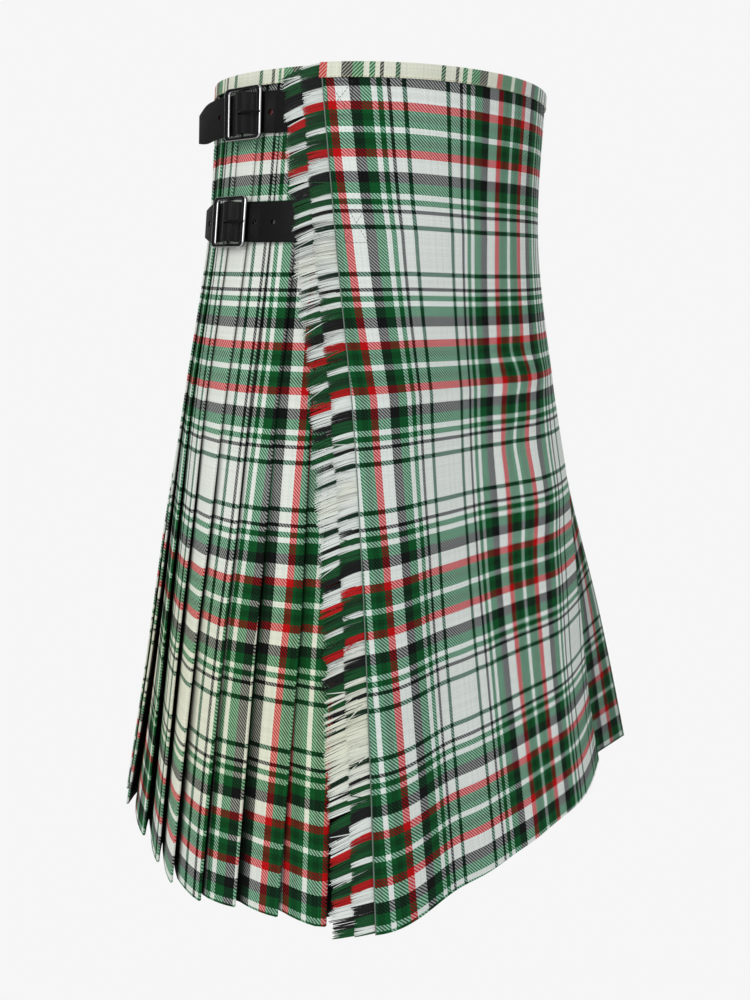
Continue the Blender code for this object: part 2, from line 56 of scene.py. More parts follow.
BAND_STEP = 0.16
FRINGE_CLOTH = 0.0008

# The ring round the wearer at each height: where its middle is, its radius and the waves on it, the edges of
# the aprons and the pleats, and how wide a pleat is, how deep it folds and what share of it tucks under.
Section = namedtuple(
    "Section",
    "height shift radius oval flat corner free_edge fold_edge last_pleat pleat_end pleat_width fold tuck",
)
SECTIONS = [
    Section(0.000, 0.000, 0.1370, -0.0105, 0.0005, 0.0004, -63.0, 57.0, 60.5, 50.0, 0.0205, 0.0029, 0.12),
    Section(-0.120, 0.008, 0.1386, -0.0200, -0.0008, 0.0000, -56.3, 53.0, 59.5, 46.0, 0.0225, 0.0029, 0.12),
    Section(-0.240, 0.012, 0.1540, -0.0290, -0.0033, -0.0004, -49.9, 50.5, 60.5, 43.0, 0.0250, 0.0036, 0.20),
    Section(-0.360, 0.012, 0.1751, -0.0335, -0.0053, -0.0017, -46.8, 46.5, 63.0, 39.5, 0.0258, 0.0062, 0.36),
    Section(-0.480, 0.009, 0.1983, -0.0331, -0.0061, -0.0041, -45.5, 43.6, 57.0, 37.5, 0.0280, 0.0092, 0.50),
    Section(-0.610, 0.006, 0.2230, -0.0298, -0.0039, -0.0073, -44.6, 42.2, 51.0, 37.0, 0.0310, 0.0120, 0.60),
]

Fold = namedtuple("Fold", "angle spread depth start")
APRON_FOLDS = [
    Fold(-42.0, 7.0, 0.0058, -0.25),
    Fold(-27.0, 8.0, -0.0065, -0.20),
    Fold(0.0, 9.0, 0.0028, -0.22),
    Fold(43.0, 18.0, -0.0190, -0.30),
]

PLEATS = 32
PLEAT_NOSE = PLEAT_CLOTH + CLEAR
PLEAT_START = -52.6  # angle of the first pleat's edge
PLEAT_HEM = -0.605
PLEAT_UNEVEN = (0.035, 2.3)  # how far the spacing wavers, as a share of it, and the wave's turn at a pleat
LEAD = (0.018, 0.5)  # where the cloth starts before the first pleat, and its depth there
PLEAT_SEAM = APRON_CLOTH + 3 * CLEAR
PLEAT_INSET = 0.0076
INSET_RIGHT = (-73.0, -109.0)
PAST_FOLD = 0.5
LEFT_RISE = 36.0
LEFT_RISE_ENDS = (-0.10, -0.40)
LEFT_FLARE = 0.0060
LEFT_FLARE_START = -0.30
LEFT_FLARE_FADE = (10.0, 45.0)

# How far the pleats' edges stand out at the hem, at angles round the right hip.
RIGHT_FLARES = [
    (-130.0, 0.0000), (-111.4, 0.0005), (-99.0, -0.0046), (-90.0, -0.0012), (-83.6, 0.0034),
    (-76.3, 0.0028), (-70.2, -0.0052), (-62.2, -0.0069), (-54.0, -0.0005), (-49.0, -0.0060),
]
RIGHT_FLARE_START = -0.20

# How far each pleat's edge at the right hip is moved back from the even spacing, at three heights.
SHIFT_HEIGHTS = (-0.20, -0.40, -LENGTH)
PLEAT_SHIFTS = [
    (0.0, 0.0000, 0.0030), (0.0, 0.0000, 0.0093), (0.0, 0.0084, 0.0147), (0.0, 0.0059, 0.0079),
    (0.0, 0.0067, 0.0083), (0.0, 0.0046, 0.0054), (0.0, 0.0050, 0.0099), (0.0, 0.0080, 0.0300),
    (0.0, 0.0075, 0.0210), (0.0, 0.0050, 0.0130), (0.0, 0.0030, 0.0070), (0.0, 0.0015, 0.0030),
]

UNDER_APRON_RIGHT = -60.0
UNDER_APRON_LEFT = 54.0
UNDER_APRON_HEM = -0.602
UNDER_APRON_FREE = 0.0035
UNDER_APRON_PARTS = (15.0, 40.0)

STRAP_WIDTH = 0.030
STRAP_LEATHER = 0.0018
STRAP_SEAT = 0.0006
STRAP_ROUNDING = 0.0006
STRAP_HOLE = 0.0036
HOLES = (0.025, 0.041)
PAST_BUCKLE = 0.008  # from the frame's far side to the hole in the strap's tail
TAB_LEATHER = 0.0008
TAB_REACH = 0.020
BUCKLE_WIDTH = 0.0385
BUCKLE_HEIGHT = 0.0385
BUCKLE_BAR = 0.0055
BUCKLE_RAIL = 0.0029
BUCKLE_THICK = 0.0026
BUCKLE_CORNERS = (0.0042, 0.0016)  # radius of the frame's outer and inner corners
BUCKLE_LIFT = STRAP_SEAT + TAB_LEATHER + STRAP_LEATHER + 2 * CLEAR
MIDDLE_BAR = 0.0009
TONGUE = 0.0009
# How much higher a strap lies near its start: distance from the start, and lift.
STRAP_DROP = [(0.0, 0.0035), (0.005, 0.0035), (0.012, 0.0010), (0.034, 0.0010), (0.046, 0.0)]

Strap = namedtuple("Strap", "name height start buckle tail wrap droop")
STRAPS = [
    Strap("upper", -0.0305, -0.121, -0.2130, 0.054, 0.35, 0.006),
    Strap("lower", -0.1095, -0.106, -0.2225, 0.034, 1.0, 0.0),
]
HIP_RADIUS = 0.13  # round which a strap's tail falls away from its buckle
STRAP_END = 0.72  # width of the tail's tip, as a share of the strap's
STRAP_TIP = 0.45  # length over which the tail narrows, as a share of the strap's width
STRAP_STEP = 0.002
STRAP_MEETS = 0.70  # where the route through the buckle takes over, as a share of its width
TAIL_SHARES = (0.15, 0.30, 0.45, 0.55, 0.65, 0.75, 0.85, 0.93, 1.0)

# ---- The tartan ----

HALF_SETT = 0.08635  # from one pivot of the sett to the next
THREAD = 0.00066  # from one thread to the next, both ways
PARTS = 119.15  # the half sett in parts
# Where each stripe ends and its dye, from the pivot in the narrow white line between the two red and green
# groups, to the pivot in the middle of the wide white ground.
SETT = [
    (2.7, "white"), (8.0, "green"), (14.6, "deep_green"), (18.3, "green"), (26.1, "red"),
    (40.2, "white"), (51.0, "black"), (61.7, "green"), (67.2, "white"), (72.7, "green"),
    (77.7, "white"), (81.2, "black"), (92.7, "white"), (97.3, "line_green"), (PARTS, "white"),
]
DYES = {
    "white": (238, 244, 240),
    "green": (12, 84, 40),
    "deep_green": (8, 58, 26),
    "line_green": (8, 46, 26),
    "red": (196, 14, 18),
    "black": (17, 18, 20),
}

WEFT_PIVOT = -0.0456  # height of a red and green pivot in the weft
APRON_PIVOT = -0.1407  # distance from the front of a red and green pivot in the apron's warp
# How far that pivot lies to the wearer's left of it, at each height.
PIVOT_DRIFT = [
    (0.0, -0.0172), (-0.12, 0.0037), (-0.24, 0.0148), (-0.36, 0.0092), (-0.48, -0.0012), (-0.61, -0.0117),
]
# How far the apron's weft lies above its even heights, below each height and at three places across it.
SAG_PLACES = (0.20, 0.50, 0.80)  # as shares of the apron's width, from its free edge
APRON_SAGS = [
    (-0.0456, 0.0000, -0.0025, -0.0020),
    (-0.2183, 0.0024, -0.0004, -0.0022),
    (-0.3910, 0.0002, -0.0014, -0.0044),
    (-0.5637, 0.0046, 0.0016, 0.0000),
]
# How far the pleats' weft lies above its even heights, below each height.
PLEAT_SAGS = [(0.0, 0.0), (-0.2183, 0.0015), (-0.3910, 0.0048), (-0.5637, 0.0088), (-0.6100, 0.0092)]
PLEAT_WARP = -0.0205  # of the first pleat's outer edge, from a red and green pivot
PLEAT_WARP_STEP = 0.0240  # from one pleat's edge to the next
# How much farther round the pleats' warp lies at each height, as their edges lean across it.
PLEAT_WARP_LEAN = [
    (0.0, 0.0086), (-0.217, 0.0086), (-0.256, 0.0079), (-0.300, 0.0060), (-0.357, 0.0041), (-0.414, 0.0019),
    (-0.471, 0.0009), (-0.610, 0.0009),
]
LEAN_FADE = (2.0, 4.0)  # pleats over which that lean dies away
FIRST_WARP = 0.0033  # and for the first pleat alone, at every height
PLEAT_WARP_SLIP = -0.0374  # and how far the last pleat is off that spacing, which starts to slip at the back
SLIP_FROM = 12


def linear(colour, gain=1.0):
    """An 8-bit display colour as the linear colour that Blender's sockets take."""
    shares = [value / 255 for value in colour]
    return tuple(
        gain * (share / 12.92 if share <= 0.04045 else ((share + 0.055) / 1.055) ** 2.4) for share in shares
    )


# ---- Geometry of the form ----


def curve(values, slopes, at, span, t):
    """Places on the smooth curve through values: t of the way from row at to the next one, span away."""
    return (
        values[at] * (1 + 2 * t) * (1 - t) ** 2
        + values[at + 1] * t * t * (3 - 2 * t)
        + span * (slopes[at] * t * (1 - t) ** 2 - slopes[at + 1] * t * t * (1 - t))
    )


def along(column, height):
    """A column of SECTIONS at any heights, on the smooth curve through its rows that the solids follow."""
    rows = np.array([row.height for row in SECTIONS])
    values = np.array([getattr(row, column) for row in SECTIONS])
    index = np.arange(len(rows))
    before, after = np.maximum(index - 1, 0), np.minimum(index + 1, len(rows) - 1)
    slopes = (values[after] - values[before]) / (rows[after] - rows[before])
    height = np.asarray(height, float)
    at = np.clip(np.searchsorted(-rows, -height, side="left") - 1, 0, len(rows) - 2)
    span = rows[at + 1] - rows[at]
    return curve(values, slopes, at, span, (height - rows[at]) / span)


def form(angle, height, out=0.0):
    """Points of the worn form at angles and heights, moved out from its middle."""
    angle, height, out = np.broadcast_arrays(*(np.asarray(x, float) for x in (angle, height, out)))
    shift, radius, oval, flat, corner = (along(column, height) for column in Section._fields[1:6])
    turn = np.radians(angle)
    reach = radius + oval * np.cos(2 * turn) + flat * np.cos(3 * turn) + corner * np.cos(4 * turn) + out
    return np.stack([reach * np.sin(turn), shift - reach * np.cos(turn), height], axis=-1)


ALL_ROUND = (-345.0, 120.5)  # past every piece's angles


@lru_cache(maxsize=None)
def girth(height):
    """Angles all round the form, and the distance along it from the front to each."""
    angles = np.arange(*ALL_ROUND, 1.0)
    points = form(angles, height)
    steps = np.linalg.norm(np.diff(points, axis=0), axis=1)
    run = np.concatenate([[0.0], np.cumsum(steps)])
    return angles, run - np.interp(0.0, angles, run)


def distance(angle, height):
    angles, run = girth(float(height))
    return np.interp(angle, angles, run)


def angle_at(run_length, height):
    angles, run = girth(float(height))
    return np.interp(run_length, run, angles)


def smooth_step(value, start, end):
    t = np.clip((np.asarray(value, float) - start) / (end - start), 0.0, 1.0)
    return t * t * (3 - 2 * t)


def by_height(rows, height, column=1):
    """A column of a table whose rows start with a height and go down, on straight lines between them."""
    return np.interp(-np.asarray(height, float), [-row[0] for row in rows], [row[column] for row in rows])


def unit(vectors):
    return vectors / np.maximum(np.linalg.norm(vectors, axis=-1, keepdims=True), 1e-12)


def outward_at(angle, height):
    """The way straight out of the form."""
    return unit(form(angle, height, 0.01) - form(angle, height))


def turn_per_metre(angle, height, way):
    """Degrees round the form for a metre along it, on the side that way is."""
    return 1.0 / np.linalg.norm(form(angle + way, height) - form(angle, height), axis=-1)


def apron_out(angle, height):
    """How far the outer apron's face stands out of the form."""
    out = 0.0
    for fold in APRON_FOLDS:
        grown = smooth_step(height, fold.start, -LENGTH)
        out = out + fold.depth * grown * np.exp(-(((np.asarray(angle) - fold.angle) / fold.spread) ** 2))
    return out


Crease = namedtuple("Crease", "angle height wide tall slant depth")  # slant: degrees round for each metre up
APRON_CREASES = [
    Crease(20.0, -0.2120, 12.0, 0.012, 0.0, -0.0016),
    Crease(25.0, -0.2360, 16.0, 0.016, 0.0, 0.0036),
    Crease(27.0, -0.2640, 8.0, 0.012, 30.0, 0.0012),
    Crease(19.0, -0.2920, 11.0, 0.017, 0.0, -0.0020),
    Crease(25.0, -0.3450, 16.0, 0.032, 0.0, 0.0038),
    Crease(17.0, -0.2620, 3.4, 0.045, 90.0, 0.0010),
    Crease(8.0, -0.3300, 3.6, 0.060, 40.0, 0.0010),
    Crease(30.0, -0.4200, 6.0, 0.040, 30.0, 0.0016),
    Crease(-12.0, -0.2500, 4.0, 0.060, -30.0, 0.0009),
    Crease(-8.0, -0.4550, 3.6, 0.070, 20.0, 0.0012),
]


def on_apron(angle, height, lift=0.0):
    return form(angle, height, apron_out(angle, height) + lift)


def creases_out(angle, height):
    """How far soft creases lift the apron's cloth."""
    out = 0.0
    for crease in APRON_CREASES:
        across = (angle - crease.angle - crease.slant * (height - crease.height)) / crease.wide
        out = out + crease.depth * np.exp(-(across**2) - ((height - crease.height) / crease.tall) ** 2)
    return out


def pleat_out(angle, height):
    """How far the pleats' outer edges stand out of the form, at angles from -345 to 120."""
    angle, height = np.broadcast_arrays(np.asarray(angle, float), np.asarray(height, float))
    wrapped = (angle + 180.0) % 360.0 - 180.0
    inset = -PLEAT_INSET * (1 - smooth_step(wrapped, *INSET_RIGHT))
    flare = np.interp(wrapped, *zip(*RIGHT_FLARES))
    right = inset + (flare - inset) * smooth_step(height, RIGHT_FLARE_START, -LENGTH)
    fold_edge, last_pleat = along("fold_edge", height), along("last_pleat", height)
    rise_end = last_pleat + LEFT_RISE * (1 - smooth_step(height, *LEFT_RISE_ENDS))
    inset = PLEAT_SEAM - apron_out(fold_edge, height)
    fade = (last_pleat + past for past in LEFT_FLARE_FADE)
    flare = LEFT_FLARE * smooth_step(height, LEFT_FLARE_START, -LENGTH) * (1 - smooth_step(wrapped, *fade))
    left = flare - (inset + flare) * (1 - smooth_step(wrapped, fold_edge + PAST_FOLD, rise_end))
    return np.where(wrapped < 0.0, right, left)


def on_pleats(angle, height):
    return form(angle, height, pleat_out(angle, height))


def under_out(angle, height):
    free = UNDER_APRON_FREE * smooth_step(angle, *UNDER_APRON_PARTS)
    return -PLEAT_INSET - along("fold", height) - PLEAT_CLOTH - 2 * CLEAR - free


def pleat_edges(height):
    """The distance round the form to each pleat's outer edge, from the right hip round to the left one."""
    first = distance(PLEAT_START, height)
    last = distance(along("last_pleat", height) - 360.0, height)
    spaces = PLEATS - 1
    ratio = along("pleat_width", height) * spaces / (first - last)
    i = np.arange(PLEATS)
    share = i / spaces
    size, turn = PLEAT_UNEVEN
    uneven = size * np.sin(turn * i) * smooth_step(height, -0.20, -LENGTH)
    edges = first + (last - first) * (ratio * share + (1 - ratio) * share**2 + uneven / spaces)
    for pleat, backs in enumerate(PLEAT_SHIFTS):
        edges[pleat] -= by_height(list(zip(SHIFT_HEIGHTS, backs)), height)
    return edges


def apron_warp(angle, height):
    """The warp's distance from its pivot, at angles across one height of the apron."""
    return distance(angle, height) - (APRON_PIVOT + by_height(PIVOT_DRIFT, height))


def pleat_warp(pleat):
    """The warp at a pleat's outer edge."""
    slip = PLEAT_WARP_SLIP * np.maximum(np.asarray(pleat) - SLIP_FROM, 0) / (PLEATS - 1 - SLIP_FROM)
    return PLEAT_WARP + PLEAT_WARP_STEP * np.asarray(pleat) + slip


def weft(height):
    return np.asarray(height, float) - WEFT_PIVOT


def apron_weft(angle, height):
    """The weft at angles across one height of the apron."""
    lifts = [by_height(APRON_SAGS, height, column) for column in (1, 2, 3)]
    free_edge, fold_edge = along("free_edge", height), along("fold_edge", height)
    share = (np.asarray(angle, float) - free_edge) / (fold_edge - free_edge)
    return weft(height) - np.interp(share, SAG_PLACES, lifts)


def pleat_weft(height):
    return weft(height) - by_height(PLEAT_SAGS, height)


# ---- Meshes ----


def add_object(name, data):
    obj = bpy.data.objects.new(name, data)
    bpy.context.scene.collection.objects.link(obj)
    return obj


def mesh_object(name, points, faces, finish, weave=None, marks=None, smooth=50.0):
    """faces is a list of index arrays, one for each number of corners. weave is a UV for each point: metres
    along the warp and the weft. marks holds named shares from 0 to 1 for each point."""
    mesh = bpy.data.meshes.new(name)
    points = np.asarray(points, np.float32).reshape(-1, 3)
    corners = np.concatenate([group.ravel() for group in faces])
    sizes = np.concatenate([np.full(len(group), group.shape[1]) for group in faces])
    starts = np.concatenate([[0], np.cumsum(sizes)[:-1]])
    mesh.vertices.add(len(points))
    mesh.vertices.foreach_set("co", points.ravel())
    mesh.loops.add(len(corners))
    mesh.loops.foreach_set("vertex_index", corners.astype(np.int32))
    mesh.polygons.add(len(sizes))
    mesh.polygons.foreach_set("loop_start", starts.astype(np.int32))
    mesh.update(calc_edges=True)
    mesh.validate()
    if weave is not None:
        layer = mesh.uv_layers.new(name="weave")
        layer.data.foreach_set("uv", np.asarray(weave, np.float32)[corners].ravel())
    for mark, shares in (marks or {}).items():
        layer = mesh.attributes.new(mark, "FLOAT", "POINT")
        layer.data.foreach_set("value", np.asarray(shares, np.float32).ravel())
    mesh.materials.append(finish)
    mesh.shade_smooth()
    mesh.set_sharp_from_angle(angle=math.radians(smooth))
    return add_object(name, mesh)


def numbered(grid):
    """The number of each point in a grid of points, (..., 3)."""
    return np.arange(grid[..., 0].size).reshape(grid.shape[:-1])


def ring_walls(index):
    """Quads between rows of points, (..., rows, points), where each row closes on itself."""
    ahead = np.roll(index, -1, axis=-1)
    corners = (index[..., :-1, :], ahead[..., :-1, :], ahead[..., 1:, :], index[..., 1:, :])
    return np.stack(corners, axis=-1).reshape(-1, 4)


def turned_out(points, quads, *others):
    """Lists of faces, turned round together if the closed skin of the quads faces inward."""
    a, b, c, d = (points[quads[:, k]] - points.mean(0) for k in range(4))
    volume = np.einsum("ij,ij->", a, np.cross(b, c)) + np.einsum("ij,ij->", a, np.cross(c, d))
    return [faces[:, ::-1] if volume < 0 else faces for faces in (quads, *others)]


def shell(name, outer, inner, finish, weave, marks=None, smooth=50.0):
    """A closed wall between two grids of points, each (rows, columns, 3)."""
    front = numbered(outer)
    back = front + front.size

    def quads(a, b, c, d):
        return np.stack([a, b, c, d], axis=-1).reshape(-1, 4)

    faces = [
        quads(front[:-1, :-1], front[1:, :-1], front[1:, 1:], front[:-1, 1:]),
        quads(back[:-1, :-1], back[:-1, 1:], back[1:, 1:], back[1:, :-1]),
        quads(front[:-1, 0], back[:-1, 0], back[1:, 0], front[1:, 0]),
        quads(front[:-1, -1], front[1:, -1], back[1:, -1], back[:-1, -1]),
        quads(front[0, :-1], front[0, 1:], back[0, 1:], back[0, :-1]),
        quads(front[-1, :-1], back[-1, :-1], back[-1, 1:], front[-1, 1:]),
    ]
    points = np.concatenate([outer.reshape(-1, 3), inner.reshape(-1, 3)])
    weave = np.concatenate([weave.reshape(-1, 2)] * 2)
    marks = {mark: np.concatenate([shares.ravel()] * 2) for mark, shares in (marks or {}).items()}
    return mesh_object(name, points, turned_out(points, np.concatenate(faces)), finish, weave, marks, smooth)


def tubes(name, paths, outward, radius, sides, finish, weave=None, flatten=1.0):
    """Closed threads along paths (threads, points, 3). outward is a way that lies across each path. radius
    may differ along each path, and flatten is how thick a thread is outward, as a share of its width."""
    count, length = paths.shape[:2]
    tangent = unit(np.gradient(paths, axis=1))
    side = unit(np.cross(tangent, np.broadcast_to(outward, paths.shape)))
    up = np.cross(side, tangent)
    turn = 2 * np.pi * np.arange(sides) / sides
    radius = np.broadcast_to(radius, (count, length))[..., None, None]
    ring = np.cos(turn)[:, None] * side[:, :, None] + flatten * np.sin(turn)[:, None] * up[:, :, None]
    points = paths[:, :, None] + radius * ring
    index = numbered(points)
    faces = [ring_walls(index), np.concatenate([index[:, 0, ::-1], index[:, -1]])]
    if weave is not None:
        weave = np.broadcast_to(weave[:, None, None], (*index.shape, 2)).reshape(-1, 2)
    return mesh_object(name, points, faces, finish, weave, smooth=80.0)


def dress(obj, slot, *nodes):
    """Puts a piece on the body, and hides the nodes it stands for."""
    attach(obj, "root")
    if nodes:
        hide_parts(*nodes)


# ---- Materials ----


class Shader:
    """A node material under construction."""

    def __init__(self, name):
        self.material = bpy.data.materials.new(name)
        self.material.use_nodes = True
        self.nodes = self.material.node_tree.nodes
        self.links = self.material.node_tree.links
        self.surface = self.nodes["Principled BSDF"]

    def node(self, kind, settings=None, **inputs):
        made = self.nodes.new(kind)
        for key, value in (settings or {}).items():
            setattr(made, key, value)
        for key, value in inputs.items():
            self.put(made.inputs[key.replace("_", " ")], value)
        return made

    def put(self, socket, value):
        if isinstance(value, bpy.types.NodeSocket):
            self.links.new(value, socket)
        else:
            socket.default_value = value

    def math(self, operation, *values):
        made = self.nodes.new("ShaderNodeMath")
        made.operation = operation
        for socket, value in zip(made.inputs, values):
            self.put(socket, value)
        return made.outputs[0]

    def mix(self, share, first, second, blend="MIX"):
        made = self.nodes.new("ShaderNodeMix")
        made.data_type = "RGBA"
        made.blend_type = blend
        self.put(made.inputs[0], share)
        self.put(made.inputs[6], first)
        self.put(made.inputs[7], second)
        return made.outputs[2]

    def ramp(self, share, stops, interpolation="CONSTANT"):
        made = self.nodes.new("ShaderNodeValToRGB")
        made.color_ramp.interpolation = interpolation
        elements = made.color_ramp.elements
        while len(elements) < len(stops):
            elements.new(1.0)
        for element, (position, colour) in zip(elements, stops):
            element.position = position
            element.color = (*colour, 1.0)
        self.put(made.inputs[0], share)
        return made.outputs[0]

    def noise(self, scale, detail=2.0):
        return self.node("ShaderNodeTexNoise", Scale=scale, Detail=detail).outputs[0]

    def mark(self, name):
        return self.node("ShaderNodeAttribute", {"attribute_name": name}).outputs["Fac"]

    def times(self, share, colour, other):
        """A colour, and as much of it multiplied by another as share says."""
        return self.mix(share, colour, self.mix(1.0, colour, other, "MULTIPLY"))

    def scaled(self, colour, gain):
        return self.node("ShaderNodeVectorMath", {"operation": "SCALE"}, Vector=colour, Scale=gain).outputs[0]

    def weave(self):
        """The distances along the warp and the weft."""
        places = self.node("ShaderNodeUVMap", {"uv_map": "weave"}).outputs[0]
        return self.node("ShaderNodeSeparateXYZ", Vector=places).outputs[:2]

    def sett(self, place):
        """Where a place is in the half sett, from 0 to 1, and its dye."""
        share = self.math("DIVIDE", self.math("PINGPONG", place, HALF_SETT), HALF_SETT)
        return share, self.ramp(share, sett_stops())

    def uneven(self, count):
        return self.node("ShaderNodeTexWhiteNoise", {"noise_dimensions": "1D"}, W=count).outputs[0]

    def bump(self, height, distance, strength=1.0, normal=None):
        made = self.node("ShaderNodeBump", Height=height, Distance=distance, Strength=strength)
        if normal is not None:
            self.put(made.inputs["Normal"], normal)
        return made.outputs[0]

    def set(self, **inputs):
        for key, value in inputs.items():
            self.put(self.surface.inputs[key.replace("_", " ")], value)
        return self.material


def sett_stops():
    stops, start = [], 0.0
    for end, dye in SETT:
        stops.append((start / PARTS, linear(DYES[dye])))
        start = end
    return stops


CREAM = (1.0, 0.965, 0.80, 1.0)
DYE_MIX = 0.16
FOLD_SHADE = (0.02, 0.02, 0.02, 1.0)
FRINGE_YELLOW = (-0.42, 0.07)  # the weft where the fringe is tinted cream most, and how far that reaches
FRINGE_CREAM = (2.4, -2.0)  # and in the sett's widest white: tint for the share of the half sett, and added


def tartan(name):
    """Two-and-two twill of dyed worsted, its stripes and threads placed by the UV map "weave"."""
    made = Shader(name)
    dyes, shades, counts, threads = [], [], [], []
    for place, seed in zip(made.weave(), (3.1, 57.7)):
        dyes.append(made.sett(place)[1])
        at = made.math("DIVIDE", place, THREAD)
        counts.append(made.math("FLOOR", at))
        uneven = made.uneven(made.math("ADD", counts[-1], seed))
        shades.append(made.math("MULTIPLY_ADD", uneven, 0.16, 0.90))
        across = made.math("SUBTRACT", made.math("FRACT", at), 0.5)
        threads.append(made.math("MULTIPLY_ADD", made.math("MULTIPLY", across, across), -4.0, 1.0))
    # A thread's fuzz takes on some of the dye of the threads that it crosses.
    colours = []
    for own, other, shade in ((dyes[0], dyes[1], shades[0]), (dyes[1], dyes[0], shades[1])):
        kept = made.node("ShaderNodeGamma", Color=own, Gamma=1 - DYE_MIX).outputs[0]
        taken = made.node("ShaderNodeGamma", Color=other, Gamma=DYE_MIX).outputs[0]
        colours.append(made.scaled(made.mix(1.0, kept, taken, "MULTIPLY"), shade))
    diagonal = made.math("FRACT", made.math("MULTIPLY", made.math("ADD", *counts), 0.25))
    warp_over = made.math("LESS_THAN", diagonal, 0.45)
    colour = made.mix(warp_over, colours[1], colours[0])
    wool = made.ramp(made.noise(2600.0), [(0.25, (0.55,) * 3), (0.75, (1.3,) * 3)], "LINEAR")
    colour = made.times(0.20, colour, wool)
    colour = made.times(made.mark("tint"), colour, CREAM)
    colour = made.times(made.mark("fold"), colour, FOLD_SHADE)
    relief = made.node("ShaderNodeMix", {"data_type": "FLOAT"}, Factor=warp_over, A=threads[1], B=threads[0])
    rumple = made.bump(made.noise(95.0, 3.0), 0.0012, 0.35)
    normal = made.bump(relief.outputs[0], 0.00016, 0.8, rumple)
    return made.set(Base_Color=colour, Roughness=0.9, Specular_IOR_Level=0.12, Normal=normal)


def fringe_thread(name):
    """Weft threads alone, so they hold the weft's own dyes."""
    made = Shader(name)
    place = made.weave()[1]
    share, dye = made.sett(place)
    uneven = made.uneven(made.math("FLOOR", made.math("DIVIDE", place, THREAD)))
    shade = made.math("MULTIPLY_ADD", made.math("POWER", uneven, 3.0), -0.48, 0.95)
    away = made.math("ABSOLUTE", made.math("SUBTRACT", place, FRINGE_YELLOW[0]))
    tint = made.math("MAXIMUM", made.math("MULTIPLY_ADD", away, -1.0 / FRINGE_YELLOW[1], 0.9), 0.0)
    tint = made.math("MAXIMUM", tint, made.math("MULTIPLY_ADD", share, *FRINGE_CREAM))
    colour = made.scaled(made.times(tint, dye, CREAM), shade)
    fuzz = made.bump(made.noise(3800.0), 0.0002, 0.6)
    gloss = {"Roughness": 0.80, "Specular_IOR_Level": 0.25, "Sheen_Weight": 0.2}
    return made.set(Base_Color=colour, Normal=fuzz, **gloss)


def thread_finish(name, colour):
    made = Shader(name)
    ply = made.noise(4200.0, 1.0)
    shade = made.ramp(ply, [(0.3, linear(colour, 0.75)), (0.7, linear(colour, 1.1))], "LINEAR")
    return made.set(Base_Color=shade, Roughness=0.7, Normal=made.bump(ply, 0.0001, 0.5))


def leather_finish(name):
    """Black bridle leather: fine grain, a soft wax shine and paler rubbed places."""
    made = Shader(name)
    grain = made.node("ShaderNodeTexVoronoi", {"feature": "DISTANCE_TO_EDGE"}, Scale=1500.0)
    rubbed = made.noise(140.0, 4.0)
    colour = made.ramp(rubbed, [(0.35, linear((4, 4, 5))), (0.75, linear((8, 7, 7)))], "LINEAR")
    roughness = made.math("MULTIPLY_ADD", rubbed, 0.20, 0.24)
    normal = made.bump(made.noise(330.0, 3.0), 0.0004, 0.30)
    normal = made.bump(grain.outputs["Distance"], 0.00008, 0.7, normal)
    return made.set(Base_Color=colour, Roughness=roughness, Specular_IOR_Level=0.15, Normal=normal)


def metal_finish(name):
    """Black nickel plate, glossy and faintly spotted, with painted highlights of bright steel where the bevel
    mark is 1.
    """
    made = Shader(name)
    spots = made.noise(260.0, 3.0)
    colour = made.ramp(spots, [(0.3, linear((26, 26, 28))), (0.7, linear((44, 44, 45)))], "LINEAR")
    # Painted highlight: bright steel colour along the bevels stands in for the lamps' reflections.
    colour = made.mix(made.mark("polish"), colour, (*linear((214, 214, 216)), 1.0))
    roughness = made.math("MULTIPLY_ADD", spots, 0.16, 0.10)
    normal = made.bump(made.noise(900.0), 0.0001, 0.12)
    return made.set(Base_Color=colour, Metallic=1.0, Roughness=roughness, Normal=normal)


# ---- Camera ----

CAMERA_TURN = -43.43  # degrees round the kilt from the front
CAMERA_AWAY = 0.7792
CAMERA_SIDE = 0.0107
CAMERA_HEIGHT = -0.139
CAMERA_PITCH = 9.48
PICTURE = (750, 1000)
FOCUS = 871.2  # focal length in pixels of the picture
HORIZON = 407.5  # row of the picture that the lens looks straight at


def make_camera():
    turn, pitch = math.radians(CAMERA_TURN), math.radians(CAMERA_PITCH)
    data = bpy.data.cameras.new("camera")
    data.sensor_fit = "VERTICAL"
    data.sensor_height = 36.0
    data.lens = FOCUS / PICTURE[1] * data.sensor_height
    data.shift_y = (HORIZON - PICTURE[1] / 2) / PICTURE[1]
    data.clip_start = 0.05
    camera = add_object("camera", data)
    camera.location = (
        CAMERA_AWAY * math.sin(turn) - CAMERA_SIDE * math.cos(turn),
        -CAMERA_AWAY * math.cos(turn) - CAMERA_SIDE * math.sin(turn) - 0.0022,
        CAMERA_HEIGHT,
    )
    level = math.cos(pitch)
    look = Vector((-math.sin(turn) * level, math.cos(turn) * level, -math.sin(pitch)))
    camera.rotation_euler = look.to_track_quat("-Z", "Y").to_euler()
    bpy.context.scene.camera = camera


# ---- Cloth ----

APRON_SHELL = 0.0010  # the cloth's own thickness
BAND_SHELL = 0.0009
PLEAT_SHELL = 0.0009
BAND_HEIGHTS = (-BAND_DEPTH, -0.009, -0.006, -0.003)  # rows of points down its outer leg
BAND_CROWN, BAND_SINK = 0.0007, 0.0009  # the fold's rise over its legs, and how far below the top they end
BAND_LEG, BAND_EDGE = 0.0084, 0.0006  # how far the inner leg comes down, and where the fold has none
FRONT_LEG, FRONT_LEG_END, BACK_LEG = (-58.0, -54.0), (44.0, 47.0), (-61.5, -66.0)  # angles it comes in over
BAND_CREAM, BAND_CREAM_ROUND = 0.8, (-10.0, 25.0)
BAND_POINTS = (120, 380)
APRON_GRID = (230, 150)  # rows and columns of points
UNDER_APRON_GRID = (80, 60)
PLEAT_HEIGHTS = 92
PANEL_POINTS = 9  # across the part of a pleat that shows
APRON_TOP = -0.0014  # under the waistband's fold
PLEAT_TOP = -0.0016
